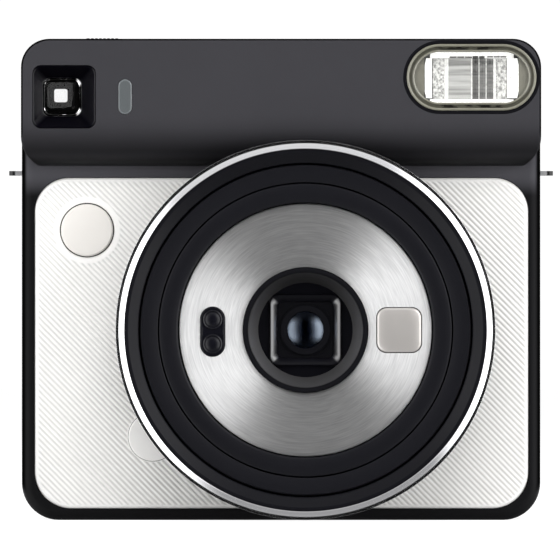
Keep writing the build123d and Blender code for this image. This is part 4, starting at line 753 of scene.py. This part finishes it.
def pull_to_outline(px, pz, rim):
    """Moves rim points of the grid onto the holes and the outer outline."""
    for cx, cz, radius in (LENS_HOLE, SHUTTER_HOLE, POWER_HOLE):
        r = np.hypot(px - cx, pz - cz)
        near = rim & (r - radius < GRID_REACH)
        px = np.where(near, cx + (px - cx) * radius / r, px)
        pz = np.where(near, cz + (pz - cz) * radius / r, pz)
    h = 0.01
    e = edge_distance(px, pz)
    near = rim & (e < GRID_REACH)
    ex = (edge_distance(px + h, pz) - edge_distance(px - h, pz)) / (2 * h)
    ez = (edge_distance(px, pz + h) - edge_distance(px, pz - h)) / (2 * h)
    return np.where(near, px - ex * e, px), np.where(near, pz - ez * e, pz)


def panel_front():
    """Points, triangles and groove share of the panel's ribbed front."""
    gx, gz = np.meshgrid(grid_line(PANEL_X0, PANEL_X1), grid_line(PANEL_Z0, PANEL_Z1))
    inside = edge_distance(gx, gz) >= 0
    for distance in hole_distances(gx, gz):
        inside &= distance >= 0
    cell = inside[:-1, :-1] & inside[1:, :-1] & inside[:-1, 1:] & inside[1:, 1:]
    used = np.zeros_like(inside)
    for dz in (0, 1):
        for dx in (0, 1):
            used[dz:used.shape[0] - 1 + dz, dx:used.shape[1] - 1 + dx] |= cell
    full = np.zeros_like(inside)
    full[1:-1, 1:-1] = cell[:-1, :-1] & cell[1:, :-1] & cell[:-1, 1:] & cell[1:, 1:]
    px, pz = pull_to_outline(gx, gz, used & ~full)
    edge = edge_distance(px, pz)
    _, shutter, power = hole_distances(px, pz)
    phase = ((px + pz) / RIB_STEP) % 1.0
    groove = (0.5 - 0.5 * np.cos(2 * math.pi * phase)) ** 1.5
    groove *= fade(edge, 0.5, 1.3) * fade(shutter, 1.3, 1.7) * fade(power, 0.0, 0.3)
    rolled = np.clip(1 - edge / EDGE_ROLL, 0, 1)
    lip = np.clip(1 - shutter / LIP_ROLL, 0, 1)
    drop = EDGE_DROP * (1 - np.sqrt(1 - rolled ** 2 * 0.96)) + LIP_DROP * lip ** 2
    py = PANEL_FRONT_Y + RIB_DEPTH * groove + drop
    index = -np.ones(used.shape, int)
    index[used] = np.arange(used.sum())
    a, b = index[:-1, :-1][cell], index[:-1, 1:][cell]
    c, d = index[1:, 1:][cell], index[1:, :-1][cell]
    faces = np.concatenate([np.stack([a, b, d], 1), np.stack([b, c, d], 1)])
    points = np.stack([px[used], py[used], pz[used]], 1)
    return points.tolist(), faces.tolist(), groove[used].tolist()


def open_edges(faces):
    """Edges that only one triangle uses, in that triangle's direction."""
    found = {}
    for face in faces:
        for p, q in zip(face, face[1:] + face[:1]):
            found.setdefault((min(p, q), max(p, q)), []).append((p, q))
    return [users[0] for users in found.values() if len(users) == 1]


def ribbed_panel():
    points, faces, groove = panel_front()
    border = open_edges(faces)
    rim = sorted({v for edge in border for v in edge})
    behind = {v: len(points) + i for i, v in enumerate(rim)}
    walls = [[q, p, behind[p], behind[q]] for p, q in border]
    points += [(points[v][0], PANEL_BACK_Y, points[v][2]) for v in rim]
    panel = piece("ribbed_panel", points, faces + walls, "panel", "camera_body", stands_for=("front_panel",),
                  slot="panel_white", sharp=50)
    tone = panel.data.attributes.new("groove", "FLOAT", "POINT")
    tone.data.foreach_set("value", groove + [0.0] * len(rim))


ribbed_panel()

# ---- turned lens parts, each outline as (radius, depth) ----

lathe("silver_trim", [
    (44.5, -22.85), (46.3, -22.85), (46.6, -23.2), (46.6, -27.78), (46.58, -27.8), (45.92, -27.82),
    (45.72, -27.88), (45.57, -27.98), (45.42, -28.1), (45.22, -28.3), (45.02, -28.5), (44.86, -28.66),
    (44.73, -28.78), (44.62, -28.84), (44.5, -28.8),
], "silver", "camera_body", turns=384, stands_for=("silver_ring",), slot="ring_silver", sharp=25)
lathe("lens_housing_skin", [
    (40.7, 3), (42.6, 3), (42.6, -3.5), (44.7, -3.5), (44.7, -5.45), (42.6, -5.45), (42.6, -9.4),
    (43.2, -11), (44.0, -13.6), (44.9, -17.0), (45.9, -22.8), (44.45, -22.8), (44.45, -28.5), (44.4, -28.56),
    (43.6, -28.56), (43.45, -28.5), (41.6, -27.15), (41.2, -27.0), (41.05, -26.8), (41.05, -24.2),
    (40.7, -23.8),
], "black", "camera_body", stands_for=("lens_housing",), slot="housing_black", sharp=25)
lathe("outer_barrel_skin", [
    (39, 0), (40.6, 0), (40.6, -26.1), (40.5, -26.42), (40.25, -26.6), (36.45, -26.6), (36.33, -26.55),
    (36.3, -26.45), (36.3, -25.4), (39, -25.4),
], "satin", "outer_barrel_body", stands_for=("outer_barrel",), slot="housing_black", sharp=28)
lathe("inner_barrel_skin", [
    (38.9, 0.4), (38.9, -1.5), (36, -1.5), (36, -25.4), (36.0, -26.15), (35.85, -26.4), (35.55, -26.5),
    (31.85, -26.5), (31.5, -26.35), (31.32, -26.05), (31.3, -24.1), (18.6, -24.1), (18.6, -22.9),
    (34.5, -22.9), (34.5, 0.4),
], "satin", "lens_unit", stands_for=("inner_barrel",), slot="housing_black", sharp=28)
lathe("lens_ring_trim", [
    (14.15, -24.1), (15.35, -24.1), (15.35, -25.9), (15.22, -26.12), (15.0, -26.2), (14.5, -26.2),
    (14.25, -26.1), (14.15, -25.9),
], "matt", "lens_unit", stands_for=("lens_ring",), slot="housing_black", sharp=28)
lathe("cone_wall", [
    (11.62, -20.7), (14.0, -25.8), (14.1, -25.8), (14.1, -24.1), (18.5, -24.1), (18.5, -22.9), (13.2, -22.9),
    (13.2, -20.0), (11.62, -20.0),
], "cone", "lens_unit", stands_for=("lens_cone",), slot="cone_grey", sharp=28)
lathe("lens_cell_skin", [
    (4.55, -19.6), (4.75, -19.9), (6.0, -19.9), (6.2, -19.75), (6.25, -19.5), (6.25, -19.05), (6.9, -19.0),
    (7.1, -19.1), (7.3, -19.0), (12.9, -19.0), (12.9, -17.8), (7.6, -17.8), (7.6, -15.0), (2.75, -15.0),
    (2.75, -15.6), (4.95, -15.6), (4.95, -18.9), (4.55, -18.9),
], "matt", "lens_unit", stands_for=("lens_cell",), slot="black_inner", sharp=28)


def baffle_square(side, corner, y):
    """Rounded square about the lens axis whose first point stands beside that of the round floor."""
    loop = soft_loop(side, side, corner, LENS_X, LENS_Z)
    first = min(range(LOOP_POINTS), key=lambda i: abs(math.atan2(loop[i][1] - LENS_Z, loop[i][0] - LENS_X)))
    return loop[first:] + loop[:first], y


def baffle():
    """Round floor of the cone with a raised square frame sloping in to the lens."""
    turn = 2 * math.pi / LOOP_POINTS
    floor = []
    for i in range(LOOP_POINTS):
        floor.append((LENS_X + BAFFLE_R * math.cos(turn * i), LENS_Z + BAFFLE_R * math.sin(turn * i)))
    squares = (
        (17.9, 2.2, BAFFLE_Y), (17.5, 2.2, -20.8), (17.2, 2.1, -20.95), (16.9, 2.1, -20.9),
        (14.3, 1.5, -19.75), (14.0, 1.4, -19.5), (13.9, 1.4, -19.1), (13.8, 1.4, -19.1),
    )
    loops = [(floor, BAFFLE_Y)] + [baffle_square(*square) for square in squares]
    stack("baffle_frame", loops, "baffle", "lens_unit", slot="black_inner", sharp=30)


def front_glass():
    """Ball-shaped front, straight edge and hollow back."""
    front = [(0, GLASS_FRONT)]
    for i in range(1, 21):
        r = GLASS_R * i / 20
        front.append((r, GLASS_FRONT + GLASS_BALL - math.sqrt(GLASS_BALL ** 2 - r ** 2)))
    back = [(GLASS_R * i / 14, GLASS_BACK - 0.9 * (i / 14) ** 2) for i in range(14, 0, -1)]
    back.append((0, GLASS_BACK))
    lathe("front_lens_glass", front + back, "coated", "lens_unit", turns=128, closed=False,
          stands_for=("front_lens",), slot="clear_glass", sharp=60)


baffle()
front_glass()

# ---- mirror, range finder and shutter button ----

dome("mirror_glass", 11.0, 2.4, MIRROR_X, MIRROR_Z, -25.2, -26.2, -24.15, "mirror", "lens_unit",
     stands_for=("selfie_mirror",), slot="mirror", sharp=40)


def range_finder():
    """Upright window with a round lens above and below."""
    rim = ((0.0, -22.6), (0.0, -25.45), (0.3, -25.65), (0.7, -25.7), (1.1, -25.5))
    loops = [(soft_loop(6.0 - cut, 12.2 - cut, 3.0 - cut / 2, RANGE_X, RANGE_Z), y) for cut, y in rim]
    stack("range_bezel", loops, "gloss", "lens_unit", caps=True, stands_for=("range_window",),
          slot="gloss_black")
    eye = [(2.35, -25.4), (2.35, -25.75), (2.2, -25.85), (2.05, -25.8), (1.95, -25.55)]
    eye += [(1.9 * i / 8, -25.95 + 0.4 * (i / 8) ** 2) for i in range(8, -1, -1)]
    for side, label, shown in ((1, "upper", ("range_lenses",)), (-1, "lower", ())):
        lathe(f"range_lens_{label}", eye, "gloss", "lens_unit", x=RANGE_X, z=RANGE_Z + side * 3.0, turns=48,
              closed=False, stands_for=shown, slot="gloss_black", sharp=30)


range_finder()
lathe("shutter_cap", [
    (0, -10.0), (2.5, -10.02), (4.6, -10.07), (5.7, -10.1), (6.1, -10.05), (6.35, -9.85), (6.45, -9.6),
    (6.45, -8.6), (3.0, -8.6), (3.0, -4.0), (0, -4.0),
], "button", "shutter_button_body", x=SHUTTER_X, z=SHUTTER_Z, closed=False, stands_for=("shutter_button",),
    slot="button_white", sharp=30)

# ---- viewfinder ----


def finder_loop(side, corner, shift=0.0):
    return soft_loop(side, side, corner, FINDER_X + shift, FINDER_Z)


def finder_lens():
    """Square hollow lens; its optical middle sits off centre, so the view through it moves up and left."""
    steps = 20
    lens_x = FINDER_X + FINDER_SHIFT
    middle_x, middle_z = lens_x + VIEW_SHIFT_X, FINDER_Z + VIEW_SHIFT_Z
    points, faces = [], []
    for sign, depth, bend in ((1, -9.3, 30.0), (-1, -11.3, 38.0)):
        for i in range(steps + 1):
            for k in range(steps + 1):
                x = lens_x + FINDER_HALF * (2 * i / steps - 1)
                z = FINDER_Z + FINDER_HALF * (2 * k / steps - 1)
                rise = ((x - middle_x) ** 2 + (z - middle_z) ** 2) / (2 * bend)
                points.append((x, depth + sign * rise, z))
    row = steps + 1
    for i in range(steps):
        for k in range(steps):
            face = [i * row + k, i * row + k + 1, (i + 1) * row + k + 1, (i + 1) * row + k]
            faces.append(face)
            faces.append([row ** 2 + v for v in (face[0], face[3], face[2], face[1])])
    piece("finder_lens", points, faces, "optic", "camera_body", ("viewfinder_lens",), "clear_glass", 60)


stack("finder_bezel", [
    (finder_loop(15.3, 2.1), -11.2), (finder_loop(15.3, 2.1), -18.0), (finder_loop(15.1, 2.05), -18.15),
    (finder_loop(14.9, 2.0), -18.1), (finder_loop(14.0, 1.9), -17.0), (finder_loop(10.4, 1.7, -0.5), -12.9),
    (finder_loop(9.9, 1.7, FINDER_SHIFT), -12.4), (finder_loop(9.6, 1.7, FINDER_SHIFT), -12.3),
    (finder_loop(9.3, 1.7, FINDER_SHIFT), -11.2),
], "funnel", "camera_body", stands_for=("viewfinder_bezel",), slot="gloss_black", sharp=30)
stack("finder_lens_edge", [
    (finder_loop(9.5, 2.0, FINDER_SHIFT), -12.2), (finder_loop(8.9, 1.9, FINDER_SHIFT), -11.75),
    (finder_loop(8.6, 1.9, FINDER_SHIFT), -11.7),
], "painted_glint_edge", "camera_body", slot="clear_glass", sharp=40)
finder_lens()
stack("eyepiece_pane", [
    (soft_loop(side, side, corner, EYE_X, EYE_Z), y)
    for side, corner, y in ((7.0, 1.0, 26.6), (7.0, 1.0, 27.5), (6.7, 0.9, 27.65), (3.4, 0.5, 27.8))
], "eye_glass", "camera_body", caps=True, stands_for=("eyepiece_lens",), slot="clear_glass", sharp=40)

# ---- flash ----


def flash_loop(inset):
    """Stadium outline of the flash window, drawn in by an inset."""
    return soft_loop(FLASH_W - 2 * inset, FLASH_H - 2 * inset, FLASH_H / 2 - inset, FLASH_X, FLASH_Z, 14)


def flash_band(name, look, layers, slot="smoked_window", sharp=50.0, stands_for=()):
    """Band of the flash surround from (inset, depth) pairs."""
    stack(name, [(flash_loop(inset), y) for inset, y in layers], look, "camera_body", stands_for=stands_for,
          slot=slot, sharp=sharp)


flash_band("flash_gasket", "matt", [
    (-0.65, -15.6), (-0.65, -18.0), (-0.5, -18.12), (0.05, -18.12), (0.15, -17.9), (0.2, -16.0),
], "gloss_black", 35)
flash_band("flash_window_rim", "olive_pale", [
    (0.2, -15.7), (0.2, -18.0), (0.32, -18.22), (0.5, -18.3), (0.7, -18.22), (0.85, -17.9),
], stands_for=("flash_window",))
flash_band("flash_rim_channel", "olive", [(0.8, -17.95), (1.0, -17.6), (1.5, -17.55), (1.7, -17.7)])
flash_band("flash_rim_lip", "olive_pale", [
    (1.65, -17.6), (1.75, -17.85), (1.9, -17.9), (2.05, -17.8), (2.15, -17.4),
])
FIELD = soft_loop(26.5, 13.0, 4.0, FLASH_X, FLASH_Z, 14)
MOUTH = soft_loop(23.3, 12.6, 0.8, FLASH_X, FLASH_Z, 14)
stack("flash_inner_field", [(flash_loop(2.0), -17.0), (FIELD, -16.9), (MOUTH, -16.8), (MOUTH, -14.7)],
      "olive_mid", "camera_body", slot="smoked_window", sharp=30)

# the reflector's parts are placed from the middle of the flash window
MOUTH_Y, BACK_Y, BASE_Y = -16.6, -15.2, -14.72
RIB_Y, DASH_Y, NOTCH_Y = -14.9, -15.75, -16.75
RIB_LOW, RIB_HEIGHT = -5.3, 9.95
SIDE_LOW, SIDE_HEIGHT = -5.1, 9.8


def facets(name, look, areas, stands_for=()):
    """Shallow four-sided pyramids with side walls, one for each area."""
    thick, peak = 0.25, 0.12
    points, faces = [], []
    for corners in areas:
        start = len(points)
        points += [(FLASH_X + x, y, FLASH_Z + z) for x, y, z in corners]
        points += [(FLASH_X + x, y + thick, FLASH_Z + z) for x, y, z in corners]
        x, y, z = (sum(corner[i] for corner in corners) / 4 for i in range(3))
        points.append((FLASH_X + x, y - peak, FLASH_Z + z))
        for i in range(4):
            j = (i + 1) % 4
            faces.append([start + i, start + j, start + 8])
            faces.append([start + i, start + 4 + i, start + 4 + j, start + j])
    piece(name, points, faces, look, "camera_body", stands_for, slot="reflector", sharp=12)


def upright(x0, x1, z0, z1, y):
    return [(x0, y, z0), (x1, y, z0), (x1, y, z1), (x0, y, z1)]


def wall_strip(z_out, z_in, x0=-10.2, x1=10.4, count=16):
    """Sloping top or bottom wall of the reflector, cut into short facets."""
    areas = []
    for i in range(count):
        a, b = x0 + (x1 - x0) * i / count, x0 + (x1 - x0) * (i + 1) / count
        areas.append([(a, MOUTH_Y, z_out), (b, MOUTH_Y, z_out), (b, BACK_Y, z_in), (a, BACK_Y, z_in)])
    return areas


def side_strip(x_out, x_in, count=6):
    """Sloping side wall of the reflector with its two outer corners cut back."""
    areas = []
    cut = math.copysign(0.35, x_in - x_out)
    for i in range(count):
        z0, z1 = SIDE_LOW + SIDE_HEIGHT * i / count, SIDE_LOW + SIDE_HEIGHT * (i + 1) / count
        x0 = x_out + cut if i == 0 else x_out
        x1 = x_out + cut if i == count - 1 else x_out
        areas.append([(x0, MOUTH_Y, z0), (x_in, BACK_Y, z0), (x_in, BACK_Y, z1), (x1, MOUTH_Y, z1)])
    return areas


def rib(x0, x1, count=7):
    """One upright rib of the reflector's back, as a stack of shallow facets."""
    areas = []
    ridge_y = RIB_Y - min(0.35, (x1 - x0) * 0.25)
    mid = (x0 + x1) / 2
    for i in range(count):
        z0, z1 = RIB_LOW + RIB_HEIGHT * i / count, RIB_LOW + RIB_HEIGHT * (i + 1) / count
        areas.append([(x0, RIB_Y, z0), (mid, ridge_y, z0), (mid, ridge_y, z1), (x0, RIB_Y, z1)])
        areas.append([(mid, ridge_y, z0), (x1, RIB_Y, z0), (x1, RIB_Y, z1), (mid, ridge_y, z1)])
    return areas


def dashes(x0, x1, z0, z1, y, step, length):
    """Row of short dark marks, the mirror images of the tube's ends and ribs."""
    count = max(1, round((x1 - x0) / step))
    return [upright(x0 + step * i, x0 + step * i + length, z0, z1, y) for i in range(count)]


def base_tiles(x0=-11.6, z0=-6.3, width=3.4, height=3.15):
    return [
        upright(x0 + width * i, x0 + width * (i + 1), z0 + height * k, z0 + height * (k + 1), BASE_Y)
        for i in range(7) for k in range(4)
    ]


facets("reflector_base", "flash_dim", base_tiles())
# painted light: the reflector's walls and its top wall are painted near white and glow
facets("reflector_walls", "flash_painted_glow",
       wall_strip(-6.2, -5.35) + side_strip(-11.5, -9.75) + side_strip(11.6, 8.8), ("flash_reflector",))
facets("reflector_top_wall", "flash_painted_glow", wall_strip(6.25, 4.72))
facets("reflector_dashes_pale", "flash_dim", (
    dashes(-5.4, 0.2, 4.78, 5.16, DASH_Y, 1.9, 1.72)
    + dashes(3.9, 8.7, 4.9, 5.24, DASH_Y, 1.6, 1.45)
    + dashes(9.5, 11.2, -0.08, 0.08, NOTCH_Y, 0.55, 0.25)
    + dashes(-11.3, -10.0, -0.3, -0.16, NOTCH_Y, 0.6, 0.2)
))
facets("reflector_dashes_dark", "flash_dark", dashes(0.3, 3.4, 4.7, 5.3, DASH_Y, 1.6, 1.35))
# painted reflections: each group of ribs gets the tone of what it mirrors, white and speckled for the panels,
# dim and dark for the room
RIBS = {
    "spark": ((-9.55, -6.75), (6.1, 8.7)),
    "white": ((-6.7, -5.65), (-0.15, 0.25), (1.75, 1.98), (3.5, 3.75), (5.35, 6.05)),
    "light": ((-5.6, -0.2),),
    "dark": ((0.3, 1.7),),
    "dim": ((2.02, 3.45), (3.8, 5.3)),
}
for tone, spans in RIBS.items():
    facets(f"reflector_{tone}", f"flash_{tone}", [area for span in spans for area in rib(*span)])


def flash_cover():
    """Thin clear cover with a low bulge."""
    columns, rows = 40, 12
    points, faces = [], []
    for i in range(columns + 1):
        for k in range(rows + 1):
            up = -1 + 2 * k / rows
            half = COVER_FLAT + math.sqrt(max(COVER_R ** 2 - (up * COVER_R) ** 2, 0))
            x, z = (-1 + 2 * i / columns) * half, up * COVER_R
            bulge = 0.35 * (1 - (x / 15) ** 2) * (1 - (z / 7) ** 2)
            points.append((FLASH_X + x, -17.35 - bulge, FLASH_Z + z))
    row = rows + 1
    for i in range(columns):
        for k in range(rows):
            a = i * row + k
            faces.append([a, a + 1, a + row + 1, a + row])
    piece("flash_cover", points, faces, "cover", "camera_body", slot="smoked_window", sharp=30)


flash_cover()

# ---- stage, in metres: floor, world, lights, camera ----

FLOOR_GLOW = 1.22
AIM = (0, 0, 0.06)
SIDE_GLOW, TOP_GLOW, BOTTOM_GLOW, FRONT_GLOW, BACK_GLOW = 3.0, 0.85, 0.40, 0.010, 0.4
SOFT_FILL = 0.42
BEHIND_SHARE = 0.22
BACKDROP = 1.05
LEAN = math.radians(8.0)
CAMERA_PLACE = (-0.000264, -3.0, 0.05930)
CAMERA_LENS, SENSOR = 778.8, 36


def stage_floor():
    """Pale disc that the camera sees lit, and that glossy surfaces do not see."""
    turns, rings = 48, (0.4, 1.2, 2.4, 3.6)
    points = []
    for r in rings:
        for i in range(turns):
            a = 2 * math.pi * i / turns
            points.append((r * math.cos(a), r * math.sin(a), 0.0))
    faces = [list(range(turns))]
    for k in range(len(rings) - 1):
        inner = list(range(k * turns, (k + 1) * turns))
        bridge(faces, [v + turns for v in inner], inner)
    mesh = bpy.data.meshes.new("floor")
    mesh.from_pydata(points, [], faces)
    mesh.polygons.foreach_set("use_smooth", [True] * len(faces))
    material, tree = new_material("floor_white")
    diffuse = add_node(tree, "ShaderNodeBsdfDiffuse", Color=(0.80, 0.80, 0.80, 1))
    glow = add_node(tree, "ShaderNodeEmission", Color=(1, 1, 1, 1), Strength=FLOOR_GLOW)
    seen = (ray(tree, "Camera") * 0.75).most(ray(tree, "Transmission") * 0.9)
    lit = mix_shaders(tree, seen, diffuse, glow)
    unseen = add_node(tree, "ShaderNodeBsdfTransparent")
    surface(tree, mix_shaders(tree, ray(tree, "Glossy"), lit, unseen))
    mesh.materials.append(material)
    obj = bpy.data.objects.new("floor", mesh)
    bpy.context.scene.collection.objects.link(obj)


def studio_world():
    """White backdrop for the camera, even fill for matt surfaces, soft panels to mirror in glossy ones."""
    world = bpy.data.worlds.new("studio")
    bpy.context.scene.world = world
    world.use_nodes = True
    world.cycles.sampling_method = "NONE"
    tree = world.node_tree
    background = tree.nodes["Background"]
    x, y, z = parts(output(tree, "ShaderNodeTexCoord", "Generated"))
    ring = (-y).ramp(-0.25, 0.0, 1.0, BEHIND_SHARE) * (1.0 - (-y).ramp(0.76, 0.93))
    # the side panels lean a little, upper right to lower left
    along = x * math.cos(LEAN) + z * math.sin(LEAN)
    across = z * math.cos(LEAN) - x * math.sin(LEAN)
    sides = (abs(along) - abs(across)).ramp(-0.25, 0.35, SIDE_GLOW) * x.ramp(-0.4, 0.4, 1.12, 0.89)
    panels = sides + z.ramp(0.05, 0.5, TOP_GLOW) + (-z).ramp(0.05, 0.5, BOTTOM_GLOW)
    mirrored = ring * panels + y.ramp(0.80, 0.90, BACK_GLOW) + FRONT_GLOW
    straight = ray(tree, "Camera").most(ray(tree, "Transmission"))
    feed(straight.between(ray(tree, "Glossy").between(SOFT_FILL, mirrored), BACKDROP), background.inputs[1])
    background.inputs[0].default_value = (1, 1, 1, 1)


def softbox(name, spot, width, height, power):
    light = bpy.data.lights.new(name, "AREA")
    light.shape = "RECTANGLE"
    light.size = width
    light.size_y = height
    light.energy = power
    obj = bpy.data.objects.new(name, light)
    obj.location = spot
    obj.rotation_euler = (Vector(AIM) - Vector(spot)).to_track_quat("-Z", "Y").to_euler()
    bpy.context.scene.collection.objects.link(obj)
    obj.visible_glossy = False
    obj.visible_camera = False


def stage_camera():
    data = bpy.data.cameras.new("camera")
    data.sensor_width = SENSOR
    data.lens = CAMERA_LENS
    data.clip_start = 0.05
    camera = bpy.data.objects.new("camera", data)
    camera.location = CAMERA_PLACE
    camera.rotation_euler = (math.radians(90), 0, 0)
    bpy.context.scene.collection.objects.link(camera)
    bpy.context.scene.camera = camera
    bpy.context.scene.view_settings.view_transform = "Standard"


stage_floor()
studio_world()
softbox("left_box", (-0.95, -0.75, 0.10), 0.45, 1.1, 9.1)
softbox("right_box", (0.95, -0.75, 0.10), 0.45, 1.1, 12.3)
softbox("top_box", (0.0, -0.62, 1.0), 0.9, 0.5, 8.0)
softbox("back_left_box", (-0.85, 1.05, 0.65), 0.5, 0.9, 10.0)
softbox("back_right_box", (0.85, 1.05, 0.65), 0.5, 0.9, 7.0)
stage_camera()
